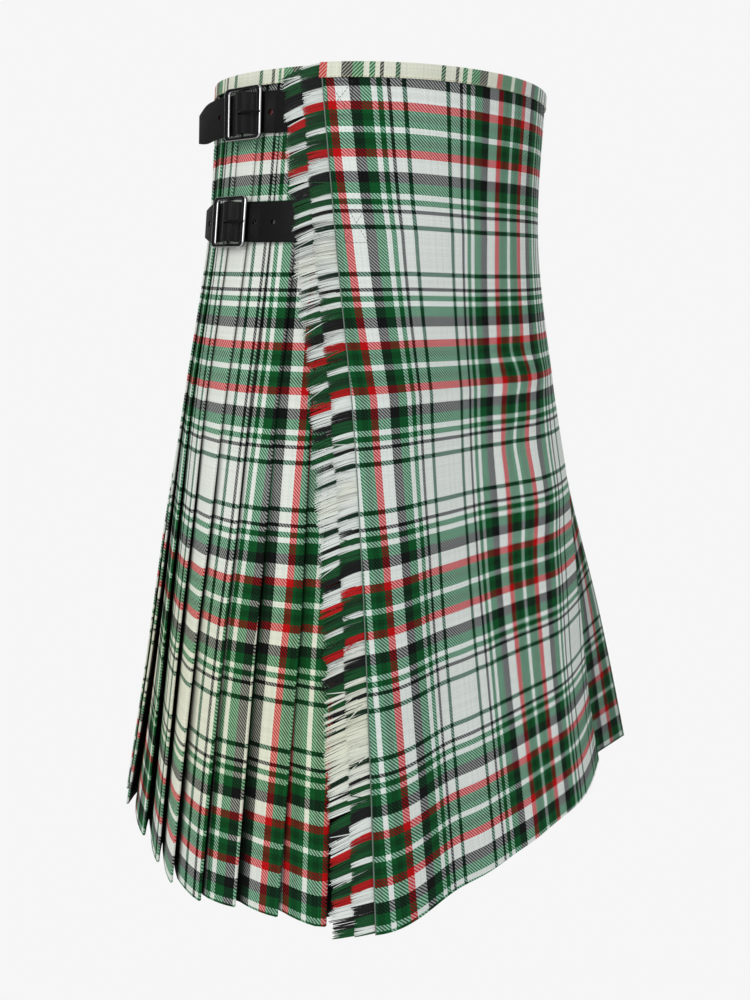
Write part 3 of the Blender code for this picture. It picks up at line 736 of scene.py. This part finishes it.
PANEL_BOW = 0.35
FOLD_DARK = 0.0028  # how far out of a fold its shade shows on the panel
# And low on the right hip, for the first pleats.
FOLD_DARKS = (0.0026, 0.0068, 0.0030, 0.0045, 0.0090, 0.0085, 0.0110)
DARK_HEIGHTS = (-0.25, -0.55)
FOLDED_HEIGHTS = (-0.03, -0.20)  # where the folds' shade grows below the waist
CREAM_FROM, CREAM_TO = (-0.33, -0.44), (-0.50, -0.59)  # heights between which the pleats are tinted cream most
CREAM_ROUND = (-150.0, -220.0)  # angles over which the yellow fades
LEFT_SHADE = 0.35
LEFT_SHADE_ROUND = (-306.0, -290.0)
LEFT_SHADE_HEIGHTS = (-0.25, -0.45)


def apron_shell(name, rows, cloth):
    """A panel hung from the waist. Each row is angles, a height, how far out they are, and their weft."""
    outer, inner, weave = [], [], []
    for angles, height, out, across in rows:
        outer.append(form(angles, height, out))
        inner.append(form(angles, height, out - APRON_SHELL))
        weave.append(np.stack([apron_warp(angles, height), across], axis=-1))
    return shell(name, np.array(outer), np.array(inner), cloth, np.array(weave))


def make_outer_apron(cloth):
    rows = []
    for height in np.linspace(APRON_TOP, -LENGTH, APRON_GRID[0]):
        free_edge, fold_edge = along("free_edge", height), along("fold_edge", height)
        angles = free_edge + (fold_edge - free_edge) * np.linspace(0.0, 1.0, APRON_GRID[1])
        out = apron_out(angles, height) + creases_out(angles, height)
        rows.append((angles, height, out, apron_weft(angles, height)))
    obj = apron_shell("apron_cloth", rows, cloth)
    dress(obj, "tartan_cloth", "outer_apron")


def make_under_apron(cloth):
    angles = np.linspace(UNDER_APRON_RIGHT, UNDER_APRON_LEFT, UNDER_APRON_GRID[1])
    rows = []
    for height in np.linspace(0.0, UNDER_APRON_HEM, UNDER_APRON_GRID[0]):
        rows.append((angles, height, under_out(angles, height) - 0.0002, np.full_like(angles, weft(height))))
    obj = apron_shell("under_apron_cloth", rows, cloth)
    dress(obj, "tartan_cloth", "under_apron")


def pleat_row(height):
    """One height of the pleated cloth: distance round the form, depth behind the pleats' edges, warp, and how
    far each place is inside a fold.

    Each pleat turns out of a deep fold, comes forward under the panel, rounds its outer edge, and runs back
    as the panel that shows, down into the next deep fold.
    """
    edges = pleat_edges(height)
    fold = float(along("fold", height))
    unders = edges - float(along("tuck", height) * along("pleat_width", height))
    apron_edge = distance(along("fold_edge", height) + PAST_FOLD - 360.0, height)
    goals = np.append(unders[1:], apron_edge)
    shown = np.append(edges[1:], apron_edge)
    nose = PLEAT_NOSE / 2
    back_turns = np.array([5.4, 4.0, 2.6, 2.6, 2.6, 2.2])
    lean = by_height(PLEAT_WARP_LEAN, height)
    bow = 1.0 + PANEL_BOW * smooth_step(height, -0.24, -LENGTH)
    share = np.linspace(0.0, 1.0, PANEL_POINTS)
    deep = smooth_step(height, *DARK_HEIGHTS)
    lead = np.linspace(edges[0] + LEAD[0], unders[0], 4)[:3]
    lead_depth = fold * np.linspace(LEAD[1], 1.0, 4)[:3]
    runs, depths, warps, folds = [lead], [lead_depth], [lead - edges[0] - PLEAT_WARP], [np.ones(3)]
    darks = (*FOLD_DARKS, *[FOLD_DARK] * PLEATS)
    for i, (edge, under) in enumerate(zip(edges, unders)):
        panel_run = edge + (goals[i] - edge) * share
        panel_depth = fold * share**bow
        back_run = np.array([under, under - 0.8 * nose, under, (edge + under) / 2, edge, edge + 0.9 * nose])
        back_depth = np.array([fold, fold - nose, fold - 2 * nose, fold / 2, 2 * nose, nose])
        warp = -float(pleat_warp(i)) - lean * (1 - smooth_step(i, *LEAN_FADE)) - FIRST_WARP * (i == 0)
        runs += [back_run, panel_run]
        depths += [back_depth, panel_depth]
        warps += [warp + edge - back_run + nose * back_turns, warp + panel_run - edge]
        dark = FOLD_DARK + (darks[i] - FOLD_DARK) * deep
        inside = 1.0 - smooth_step(panel_run, shown[i] + 0.4 * dark - 0.0015, shown[i] + dark)
        folds += [np.array([1.0, 1.0, 1.0, 1.0, 0.9, 0.35]), inside]
    return (np.concatenate(rows) for rows in (runs, depths, warps, folds))


def plan_normals(points):
    """Level normals of rows of points, to the left of the way each row runs."""
    step = unit(np.diff(points[..., :2], axis=1))
    before = np.concatenate([step[:, :1], step], axis=1)
    after = np.concatenate([step, step[:, -1:]], axis=1)
    turned = [np.stack([-way[..., 1], way[..., 0]], axis=-1) for way in (before, after)]
    normal = unit(turned[0] + turned[1])
    reach = np.maximum((normal * turned[0]).sum(-1, keepdims=True), 0.6)
    level = np.zeros(points.shape)
    level[..., :2] = normal / reach
    return level


def make_pleats(cloth):
    heights = np.linspace(PLEAT_TOP, PLEAT_HEM, PLEAT_HEIGHTS)
    middle, weave, tint, folds = [], [], [], []
    for height in heights:
        run, depth, warp, inside = pleat_row(height)
        angles = angle_at(run, height)
        out = pleat_out(angles, height) - PLEAT_CLOTH / 2 - depth
        points = form(angles, height, out)
        ends = [along("fold_edge", height) + PAST_FOLD, along("pleat_end", height)]
        ends = on_apron(ends, height, -PLEAT_SEAM - PLEAT_CLOTH / 2)
        flat_panel = np.linspace(points[-PANEL_POINTS], ends[0], PANEL_POINTS - 1)
        points[-PANEL_POINTS:] = np.concatenate([flat_panel, ends[1:]])
        lengths = np.linalg.norm(np.diff(points[-PANEL_POINTS:], axis=0), axis=1)
        warp[-PANEL_POINTS + 1 :] = warp[-PANEL_POINTS] - np.cumsum(lengths)
        middle.append(points)
        weave.append(np.stack([warp, np.full_like(warp, pleat_weft(height))], axis=-1))
        cream_share = smooth_step(height, *CREAM_FROM) * (1 - smooth_step(height, *CREAM_TO))
        tint.append((1.0 - smooth_step(angles, *CREAM_ROUND)) * (0.25 + 0.75 * cream_share))
        left = LEFT_SHADE * (1.0 - smooth_step(angles, *LEFT_SHADE_ROUND))
        left = left * smooth_step(height, *LEFT_SHADE_HEIGHTS)
        folds.append(np.maximum(inside * smooth_step(height, *FOLDED_HEIGHTS), left))
    middle = np.array(middle)
    normals = plan_normals(middle) * PLEAT_SHELL / 2
    outer, inner = middle + normals, middle - normals
    marks = {"tint": np.array(tint), "fold": np.array(folds)}
    obj = shell("pleat_cloth", outer, inner, cloth, np.array(weave), marks, smooth=70.0)
    dress(obj, "tartan_cloth", "pleats")


def make_waistband(node, rests_on, angles, face, bundle, leg, cloth, flat, area):
    """Cloth folded over the top edge. face is its seat's outer side at each angle, bundle the thickness of
    what it is folded over, and leg how far it comes down inside."""
    half = BAND_SHELL / 2
    outside, inside = CLEAR + half, -bundle - CLEAR - half
    centre, reach = (outside + inside) / 2, (outside - inside) / 2
    rows = [(outside, height) for height in BAND_HEIGHTS]
    for turn in np.radians(np.linspace(0.0, 180.0, 9)):
        rows.append((centre + reach * np.cos(turn), BAND_CROWN * math.sin(turn) - BAND_SINK))
    rows += [(inside, -leg * share) for share in (0.33, 0.66, 1.0)]
    places = np.array([np.stack(np.broadcast_arrays(*row, angles)[:2], axis=-1) for row in rows])
    around = np.concatenate([places[:1], places, places[-1:]])
    (x, z), (dx, dz) = (np.moveaxis(pairs, -1, 0) for pairs in (places, unit(around[2:] - around[:-2])))
    seat = face(angles, 0.0)
    outer = form(angles, np.minimum(z, 0.0), seat + x + half * dz)
    inner = form(angles, np.minimum(z, 0.0), seat + x - half * dz)
    outer[..., 2] += np.maximum(z, 0.0) - half * dx
    inner[..., 2] += np.maximum(z, 0.0) + half * dx
    weave = np.stack(np.broadcast_arrays(distance(angles, 0.0), HALF_SETT + z), axis=-1)
    cream_share = BAND_CREAM * (1 - smooth_step(angles, *BAND_CREAM_ROUND))
    marks = {"tint": np.broadcast_to(cream_share, weave.shape[:2])}
    if node == "waistband_front":
        weave[..., 0] = -(weave[..., 0] - APRON_PIVOT - PIVOT_DRIFT[0][1]) - 0.003
    else:
        edges = pleat_edges(0.0)
        slot_of = np.clip(np.searchsorted(-edges, -weave[..., 0]) - 1, 0, PLEATS - 1)
        weave[..., 0] = pleat_warp(slot_of) - (weave[..., 0] - edges[slot_of])
    obj = shell(f"{node}_cloth", outer, inner, cloth, weave, marks, smooth=60.0)
    dress(obj, "tartan_cloth", node)


def make_waistbands(cloth):
    front = np.linspace(SECTIONS[0].free_edge, SECTIONS[0].fold_edge, BAND_POINTS[0])
    leg = BAND_EDGE + BAND_LEG * smooth_step(front, *FRONT_LEG) * (1 - smooth_step(front, *FRONT_LEG_END))
    front = (front, apron_out, APRON_SHELL, leg)
    make_waistband("waistband_front", "outer_apron", *front, cloth, (0.284, 0.026), 0.0058)
    back = np.linspace(PLEAT_START, SECTIONS[0].fold_edge + BAND_STEP - 360.0, BAND_POINTS[1])
    leg = BAND_EDGE + BAND_LEG * smooth_step(back, *BACK_LEG)
    back = (back, pleat_out, SECTIONS[0].fold + PLEAT_CLOTH, leg)
    make_waistband("waistband_back", "pleats", *back, cloth, (0.60, 0.030), 0.0146)


# ---- Fringe ----

Layer = namedtuple("Layer", "name depth reach droop lowered seed")  # lowered is its weft, below the apron's
FRINGES = [
    Layer("upper", 0, 0.0160, (0.0035, 0.0055), 0.0, 11),
    Layer("under", 1, 0.0308, (0.0085, 0.0120), 0.0075, 23),
]
FRINGE_RADIUS = 0.00041
FRINGE_TAPER = (1, 1, 1, 1, 1, 0.95, 0.85, 0.45)
FRINGE_PITCH = 0.00042
STRAYS = 0.035  # share of the threads that curl away from their bundle
BUNDLE = (0.005, 0.013)  # height of a bundle that hangs together
BUNDLE_GATHER = (0.02, 0.16)  # how far its threads come together at their ends
REACHES = ((0.92, 1.04), (0.95, 1.03))  # of a bundle and of a thread in it
STRAIGHT = 0.15  # share of a thread that doesn't droop
BELOW_HEM = 0.0025  # how far a thread may hang below the apron
ROOT = 0.004  # how far the threads start behind the apron's edge
LIFTS = (0.0006, 0.0004)  # how far a bundle and a thread in it may stand out
SWAY = 0.00035
STRAY_CURL = 0.0050
STRAY_LIFT = 0.0007
HEM_CALM, HEM_STIFF = 0.045, 0.80  # how far above the hem threads droop and curl less, and how much less


def make_fringe(layer, finish):
    draw = np.random.default_rng(layer.seed)
    heights = -(np.arange(int(LENGTH / FRINGE_PITCH)) + 0.5) * FRINGE_PITCH
    starts = [0.0]
    while starts[-1] < LENGTH:
        starts.append(starts[-1] + draw.uniform(*BUNDLE))
    starts = np.array(starts)
    bundle = np.searchsorted(starts, -heights) - 1
    count = len(starts)
    middles = -(starts[bundle] + starts[bundle + 1]) / 2
    droop = draw.uniform(*layer.droop, count)[bundle]
    reach = layer.reach * draw.uniform(*REACHES[0], count)[bundle] * draw.uniform(*REACHES[1], len(heights))
    gather = draw.uniform(*BUNDLE_GATHER, count)[bundle]
    lift = draw.uniform(0.0, LIFTS[0], count)[bundle] + draw.uniform(0.0, LIFTS[1], len(heights))
    sway = draw.normal(0.0, SWAY, len(heights))
    stray = draw.random(len(heights)) < STRAYS
    curl = np.where(stray, draw.normal(0.0, STRAY_CURL, len(heights)), 0.0)
    lift = lift + STRAY_LIFT * stray
    near_hem = 1 - smooth_step(heights, -LENGTH, -LENGTH + HEM_CALM)
    droop = droop * (1 - HEM_STIFF * near_hem)
    curl = curl * (1 - near_hem)
    face = -APRON_CLOTH - CLEAR - FRINGE_CLOTH / 2 - layer.depth * (FRINGE_CLOTH + CLEAR)
    free_edge = along("free_edge", heights)
    turning = turn_per_metre(free_edge, heights, -1.0)
    paths = []
    for share in np.linspace(0.0, 1.0, len(FRINGE_TAPER)):
        past = (reach + ROOT) * share - ROOT
        free = max(share - STRAIGHT, 0.0)
        height = heights + (curl - droop) * free**1.5 + gather * (middles - heights) * free**2 + sway * share
        height = np.maximum(height, -LENGTH - BELOW_HEM)
        angle = free_edge - past * turning
        out = apron_out(np.maximum(angle, free_edge), heights) + face + lift * share
        paths.append(form(angle, height, out))
    paths = np.stack(paths, axis=1)
    outward = outward_at(free_edge - 5, heights)[:, None]
    threads = weft(heights) - by_height(APRON_SAGS, heights) + layer.lowered
    weave = np.stack([np.zeros_like(threads), threads], axis=-1)
    radius = FRINGE_RADIUS * np.array(FRINGE_TAPER)
    obj = tubes(f"fringe_{layer.name}_threads", paths, outward, radius, 3, finish, weave, flatten=0.8)
    dress(obj, "fringe_thread", f"fringe_{layer.name}")


# ---- Straps, buckles and tongues ----


def buckle_frame(strap):
    """A buckle's middle on the pleats, and the ways back round the hip, up the cloth, and out."""
    angle = angle_at(strap.buckle, strap.height)
    middle = Vector(on_pleats(angle, strap.height))
    sides = (angle_at(strap.buckle + side * BUCKLE_WIDTH / 2, strap.height) for side in (1, -1))
    front_end, back_end = (Vector(on_pleats(side, strap.height)) for side in sides)
    back = (back_end - front_end).normalized()
    reach = STRAP_WIDTH / 2
    slope = Vector(form(angle, strap.height + reach) - form(angle, strap.height - reach))
    up = (slope - back * slope.dot(back)).normalized()
    return middle, back, up, up.cross(back)


def hip_points(strap, points):
    """World points of (along the hip, up, out) in a buckle's own frame."""
    middle, back, up, out = (np.array(way) for way in buckle_frame(strap))
    points = np.asarray(points, float)
    return middle + points[..., :1] * back + points[..., 1:2] * up + points[..., 2:] * out


def strap_route():
    """The strap's middle line at a buckle, as (back along the hip, lift)."""
    half = STRAP_LEATHER / 2
    seat = STRAP_SEAT + half
    over = BUCKLE_LIFT + BUCKLE_THICK / 2 + MIDDLE_BAR + TAB_LEATHER + 2 * CLEAR + half
    back = STRAP_SEAT + TAB_LEATHER + CLEAR + half
    side = BUCKLE_WIDTH / 2
    before = [(-side - 0.001, seat + 0.0001), (-side + BUCKLE_BAR, seat + 0.0002), (-0.0075, seat + 0.0020)]
    rise = [(-0.0045, over - 0.0018), (-0.0022, over - 0.0002), (0.0, over)]
    drop = [(0.0022, over - 0.0002), (0.0048, over - 0.0022), (0.0080, back + 0.0015)]
    return [*before, *rise, *drop, (side - BUCKLE_BAR, back), (side, back)]


def rounded_corners(half_width, half_height, radius, steps):
    """Points (x, y) round a rectangle with rounded corners."""
    points = []
    for x, y, start in ((1, 1, 0), (-1, 1, 90), (-1, -1, 180), (1, -1, 270)):
        centre = x * (half_width - radius), y * (half_height - radius)
        for k in range(steps):
            turn = math.radians(start + 90 * k / (steps - 1))
            points.append((centre[0] + radius * math.cos(turn), centre[1] + radius * math.sin(turn)))
    return np.array(points)


def smooth_route(route, count):
    """A finer line on a smooth curve through the points of a route in plan."""
    route = np.array(route)
    slope = np.gradient(route[:, 1], route[:, 0])
    xs = np.linspace(route[0, 0], route[-1, 0], count)
    at = np.clip(np.searchsorted(route[:, 0], xs, side="right") - 1, 0, len(route) - 2)
    span = route[at + 1, 0] - route[at, 0]
    return np.stack([xs, curve(route[:, 1], slope, at, span, (xs - route[at, 0]) / span)], axis=-1)


def loft(name, rings, finish):
    """A closed skin through rings of points, (rings, points, 3), capped at both ends."""
    index = numbered(rings)
    faces = turned_out(rings.reshape(-1, 3), ring_walls(index), np.stack([index[0, ::-1], index[-1]]))
    return mesh_object(name, rings, faces, finish, smooth=40.0)


def make_strap(strap, finish):
    outline = rounded_corners(STRAP_WIDTH / 2, STRAP_LEATHER / 2, STRAP_ROUNDING, 4)
    middle, back, up, out = (np.array(way) for way in buckle_frame(strap))
    rings = []
    for run_length in np.arange(strap.start, strap.buckle + BUCKLE_WIDTH * STRAP_MEETS, -STRAP_STEP):
        angle = angle_at(run_length, strap.height)
        seat = STRAP_SEAT + np.interp(strap.start - run_length, *zip(*STRAP_DROP)) + STRAP_LEATHER / 2
        heights = strap.height + outline[:, 0]
        rings.append(form(angle, heights, pleat_out(angle, heights) + seat + outline[:, 1]))
    route = strap_route()
    side, lift = route[-1]
    past = strap.tail - side
    for share in TAIL_SHARES:
        place = side + past * share
        fall = strap.wrap * max(place**2 - TAB_REACH**2, 0.0) / (2 * HIP_RADIUS)
        route.append((place, lift - fall))
    line = smooth_route(route, 90)
    way = unit(np.gradient(line, axis=0))
    for (x, y), (dx, dy) in zip(line, way):
        left = (strap.tail - x) / (STRAP_WIDTH * STRAP_TIP)
        narrow = STRAP_END + (1 - STRAP_END) * math.sin(min(max(left, 0.0), 1.0) * math.pi / 2)
        lower = strap.droop * (max(x - side, 0.0) / past) ** 2
        offset = outline[:, 1:]
        ring = middle + back * (x - dy * offset) + out * (y + dx * offset)
        rings.append(ring + up * (outline[:, :1] * narrow - lower))
    obj = loft(f"leather_strap_{strap.name}", np.array(rings), finish)
    punch_holes(obj, strap)
    dress(obj, "black_leather", f"strap_{strap.name}")


def punch_holes(obj, strap):
    """Cuts the holes along the middle line, the tongue's among them."""
    middle, back, _, out = buckle_frame(strap)
    places = [(middle, out)]
    for ahead in HOLES:
        angle = angle_at(strap.buckle + ahead, strap.height)
        places.append((Vector(on_pleats(angle, strap.height)), Vector(outward_at(angle, strap.height))))
    places.append((middle + back * (BUCKLE_WIDTH / 2 + PAST_BUCKLE), out))
    bm = bmesh.new()
    size = {"segments": 24, "radius1": STRAP_HOLE / 2, "radius2": STRAP_HOLE / 2, "depth": STRAP_WIDTH}
    for place, outward in places:
        matrix = Matrix.Translation(place) @ outward.to_track_quat("Z", "Y").to_matrix().to_4x4()
        bmesh.ops.create_cone(bm, cap_ends=True, matrix=matrix, **size)
    mesh = bpy.data.meshes.new("cutter")
    bm.to_mesh(mesh)
    bm.free()
    cutter = add_object("cutter", mesh)
    cut = obj.modifiers.new("holes", "BOOLEAN")
    cut.operation = "DIFFERENCE"
    cut.object = cutter
    bpy.context.view_layer.update()
    cut_mesh = bpy.data.meshes.new_from_object(obj.evaluated_get(bpy.context.evaluated_depsgraph_get()))
    obj.modifiers.clear()
    obj.data = cut_mesh
    bpy.data.objects.remove(cutter)


def make_buckle(strap, finish):
    """A frame of rounded bars with softly bevelled edges, and the round bar across its middle."""
    side, top = BUCKLE_WIDTH / 2, BUCKLE_HEIGHT / 2
    low, high = BUCKLE_LIFT, BUCKLE_LIFT + BUCKLE_THICK
    outer, inner = BUCKLE_CORNERS
    # Share of the way from the frame's outer side to its inner, lift, and painted highlight.
    profile = [(0.10, low, 0.0), (0.02, low + 0.0003, 0.0), (0.00, low + 0.0008, 0.0)]
    profile += [(0.00, high - 0.0012, 0.2), (0.04, high - 0.0006, 1.0), (0.10, high - 0.0002, 1.0)]
    profile += [(0.20, high, 0.0), (0.62, high - 0.0001, 0.0), (0.84, high - 0.0004, 0.1)]
    profile += [(0.90, high - 0.0006, 1.0), (0.97, high - 0.0011, 0.8)]
    profile += [(1.00, low + 0.0008, 0.0), (0.98, low + 0.0003, 0.0), (0.90, low, 0.0)]
    loops = []
    for share, lift, _ in profile:
        sizes = side - BUCKLE_BAR * share, top - BUCKLE_RAIL * share, outer + (inner - outer) * share
        loops.append([(x, y, lift) for x, y in rounded_corners(*sizes, 7)])
    points = hip_points(strap, loops)
    index = numbered(points)
    faces = [ring_walls(np.concatenate([index, index[:1]]))[:, [0, 3, 2, 1]]]
    # The painted highlight of each loop of the profile, for the metal's colour.
    marks = {"polish": np.repeat([polish for _, _, polish in profile], points.shape[1])}
    obj = mesh_object(f"buckle_{strap.name}_frame", points, faces, finish, marks=marks, smooth=38.0)
    centre = low + BUCKLE_THICK / 2
    ends = hip_points(strap, [(0, y, centre) for y in np.linspace(-top + 0.0015, top - 0.0015, 5)])
    outward = np.array(buckle_frame(strap)[3])
    bar = tubes(f"buckle_{strap.name}_bar", ends[None], outward, MIDDLE_BAR, 16, finish)
    dress(bar, "dark_metal")
    dress(obj, "dark_metal", f"buckle_{strap.name}")


def make_tongue(strap, finish):
    centre = BUCKLE_LIFT + BUCKLE_THICK / 2
    hook = MIDDLE_BAR + CLEAR + TONGUE
    turns = [math.radians(a) for a in range(-60, 91, 15)]
    points = [(hook * math.cos(a), 0.0, centre + hook * math.sin(a)) for a in turns]
    top = centre + MIDDLE_BAR + TAB_LEATHER + STRAP_LEATHER + 3 * CLEAR + TONGUE
    rest = BUCKLE_LIFT + BUCKLE_THICK + CLEAR + TONGUE
    bar_at = BUCKLE_WIDTH / 2 - BUCKLE_BAR
    points += [(-0.0009, 0.0, top - 0.0006), (-0.0024, 0.0, top + 0.0004)]
    points += [(-0.0042, 0.0, top + 0.0003), (-0.0060, 0.0, top - 0.0002)]
    points += [(-bar_at, 0.0, rest + 0.0003), (-bar_at - 0.5 * BUCKLE_BAR, 0.0, rest + 0.0001)]
    points.append((-bar_at - BUCKLE_BAR - 0.0006, 0.0, rest))
    paths = hip_points(strap, points)[None]
    radius = np.full(len(points), TONGUE)
    radius[-2:] = (0.9 * TONGUE, 0.55 * TONGUE)
    up = np.array(buckle_frame(strap)[2])
    obj = tubes(f"buckle_{strap.name}_tongue", paths, up, radius, 16, finish)
    dress(obj, "dark_metal", f"tongue_{strap.name}")


# ---- Sewing ----

# Radius, length, and distance from one to the next.
BAND_STITCH = (0.00016, 0.0022, 0.0030)
BOX_STITCH = (0.00016, 0.0019, 0.0025)
SEAM_STITCH = (0.00036, 0.0018, 0.0016)
STITCH_ARCH = (-0.00025, 0.0001, 0.00018, 0.0001, -0.00025)
BAND_LINE = -0.0098
THREADS = [("dark_thread", (20, 34, 24)), ("pale_thread", (120, 136, 126)), ("tan_thread", (196, 178, 132))]


def stitches(name, places, outward, finish, radius):
    """Short threads, sunk at both ends. places is (stitches, 2, 3)."""
    shares = np.linspace(0.0, 1.0, len(STITCH_ARCH))[None, :, None]
    paths = places[:, :1] * (1 - shares) + places[:, 1:] * shares
    paths = paths + outward[:, None] * np.array(STITCH_ARCH)[None, :, None]
    dress(tubes(name, paths, outward[:, None], radius, 6, finish), "tartan_cloth")


def make_band_stitching(finish):
    radius, length, pitch = BAND_STITCH
    for name, start, end, face in (
        ("front", SECTIONS[0].free_edge + 0.6, SECTIONS[0].fold_edge - 0.6, apron_out),
        ("back", PLEAT_START - 1.0, SECTIONS[0].fold_edge - 359.0, pleat_out),
    ):
        first, last = sorted((distance(start, BAND_LINE), distance(end, BAND_LINE)))
        runs = np.arange(first, last - pitch, pitch)
        pair = angle_at(np.stack([runs, runs + length], axis=-1), BAND_LINE)
        places = form(pair, BAND_LINE, face(pair, 0.0) + (CLEAR + BAND_SHELL))
        stitches(f"stitching_band_{name}", places, outward_at(pair[:, 0], BAND_LINE), finish, radius)


def make_seam(finish):
    """Dark overlocked edge where the apron's free side meets the fringe."""
    radius, length, pitch = SEAM_STITCH
    heights = -np.arange(0.0015, LENGTH - 0.001, pitch)
    free_edge = along("free_edge", heights)
    turning = turn_per_metre(free_edge, heights, 1.0)
    ends = []
    for past, drop in ((0.0002, 0.0), (0.0009, -length)):
        angle = free_edge + past * turning
        ends.append(form(angle, heights + drop, apron_out(angle, heights) + 0.0001))
    places = np.stack(ends, axis=1)
    places[..., 2] = np.maximum(places[..., 2], -LENGTH)
    stitches("stitching_free_edge", places, outward_at(free_edge, heights), finish, radius)


# Boxes with a cross in them, which hold the straps' ends under the apron.
Box = namedtuple("Box", "first last top bottom")  # distances from the front, and heights
BOXES = [
    Box(-0.1405, -0.1231, -0.013, -0.036),
    Box(-0.1236, -0.1065, -0.097, -0.125),
]


def make_boxes(finish):
    radius, stitch, pitch = BOX_STITCH
    places, outward = [], []
    for box in BOXES:
        corners = [(box.first, box.top), (box.last, box.top), (box.last, box.bottom), (box.first, box.bottom)]
        lines = list(zip(corners, corners[1:] + corners[:1])) + [corners[0::2], corners[1::2]]
        for start, end in lines:
            start, end = np.array(start), np.array(end)
            length = np.linalg.norm(end - start)
            for at in np.arange(0.0, length - 0.0016, pitch):
                pair = [start + (end - start) * share / length for share in (at, at + stitch)]
                angles = np.array([angle_at(run, height) for run, height in pair])
                heights = np.array([height for _, height in pair])
                places.append(on_apron(angles, heights))
                outward.append(outward_at(angles[0], heights[0]))
    stitches("stitching_boxes", np.array(places), np.array(outward), finish, radius)


# ---- Studio ----


PAPER_WHITE = (246, 246, 246)
WORLD_LIGHT = 0.56
LIGHT_TARGET = (0.0, 0.0, -0.3)
FLOOR = -1.15
BEND = 1.2  # radius of the bend between the floor and the wall


def paper_finish(name):
    """Seamless white paper, evenly lit as the lens sees it."""
    made = Shader(name)
    made.set(Base_Color=(*linear((240, 240, 240)), 1.0), Roughness=0.9, Specular_IOR_Level=0.1)
    lit = made.node("ShaderNodeEmission", Color=(*linear(PAPER_WHITE), 1.0), Strength=1.0)
    seen = made.node("ShaderNodeLightPath").outputs["Is Camera Ray"]
    both = made.node("ShaderNodeMixShader", Fac=seen)
    made.links.new(made.surface.outputs[0], both.inputs[1])
    made.links.new(lit.outputs[0], both.inputs[2])
    made.links.new(both.outputs[0], made.nodes["Material Output"].inputs["Surface"])
    return made.material


def make_stage():
    """A pale floor that curves up into a pale wall behind."""
    finish = paper_finish("studio_paper")
    turn = math.radians(CAMERA_TURN)
    back = np.array([-math.sin(turn), math.cos(turn), 0.0])
    side = np.array([math.cos(turn), math.sin(turn), 0.0])
    profile = [(-4.0, FLOOR)]
    for turn in np.radians(np.arange(0, 91, 10)):
        profile.append((BEND * (1 + math.sin(turn)), FLOOR + BEND * (1 - math.cos(turn))))
    profile.append((2 * BEND, 5.0))
    points = [[back * away + side * x + (0.0, 0.0, up) for x in (-6.0, 6.0)] for away, up in profile]
    index = numbered(np.array(points))
    faces = np.stack([index[:-1, 0], index[:-1, 1], index[1:, 1], index[1:, 0]], axis=-1)
    mesh_object("studio_floor", points, [faces], finish, smooth=80.0)


def make_light(name, place, size, power):
    data = bpy.data.lights.new(name, "AREA")
    data.shape = "RECTANGLE"
    data.size, data.size_y = size
    data.energy = power
    light = add_object(name, data)
    light.location = place
    light.rotation_euler = (Vector(LIGHT_TARGET) - Vector(place)).to_track_quat("-Z", "Y").to_euler()


def around(degrees_from_camera, away, height):
    """A place round the kilt, as seen from above: 0 is the camera's side, and positive is to its right."""
    turn = math.radians(CAMERA_TURN + degrees_from_camera)
    return (away * math.sin(turn), -away * math.cos(turn), height)


def make_lights():
    world = bpy.data.worlds.new("studio")
    world.use_nodes = True
    background = world.node_tree.nodes["Background"].inputs
    background["Color"].default_value = (1.0, 1.0, 1.0, 1.0)
    background["Strength"].default_value = WORLD_LIGHT
    bpy.context.scene.world = world
    make_light("key", around(-20, 1.9, 0.6), (1.1, 1.4), 17.0)
    make_light("fill", around(40, 2.2, 0.3), (1.0, 1.6), 1.0)


def make_view():
    view = bpy.context.scene.view_settings
    view.view_transform, view.look = "Standard", "None"
    view.exposure, view.gamma = 0.0, 1.0


def main():
    make_camera()
    make_view()
    cloth = tartan("tartan_wool")
    yarn = fringe_thread("unravelled_weft")
    leather = leather_finish("black_bridle_leather")
    metal = metal_finish("black_nickel")
    dark_thread, pale_thread, tan_thread = (thread_finish(*thread) for thread in THREADS)
    make_outer_apron(cloth)
    make_under_apron(cloth)
    make_pleats(cloth)
    make_waistbands(cloth)
    for layer in FRINGES:
        make_fringe(layer, yarn)
    for strap in STRAPS:
        make_strap(strap, leather)
        make_buckle(strap, metal)
        make_tongue(strap, metal)
        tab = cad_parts[f"tab_{strap.name}"]
        tab.data.materials.clear()
        tab.data.materials.append(leather)
    make_band_stitching(tan_thread)
    make_seam(pale_thread)
    make_boxes(dark_thread)
    make_stage()
    make_lights()


main()
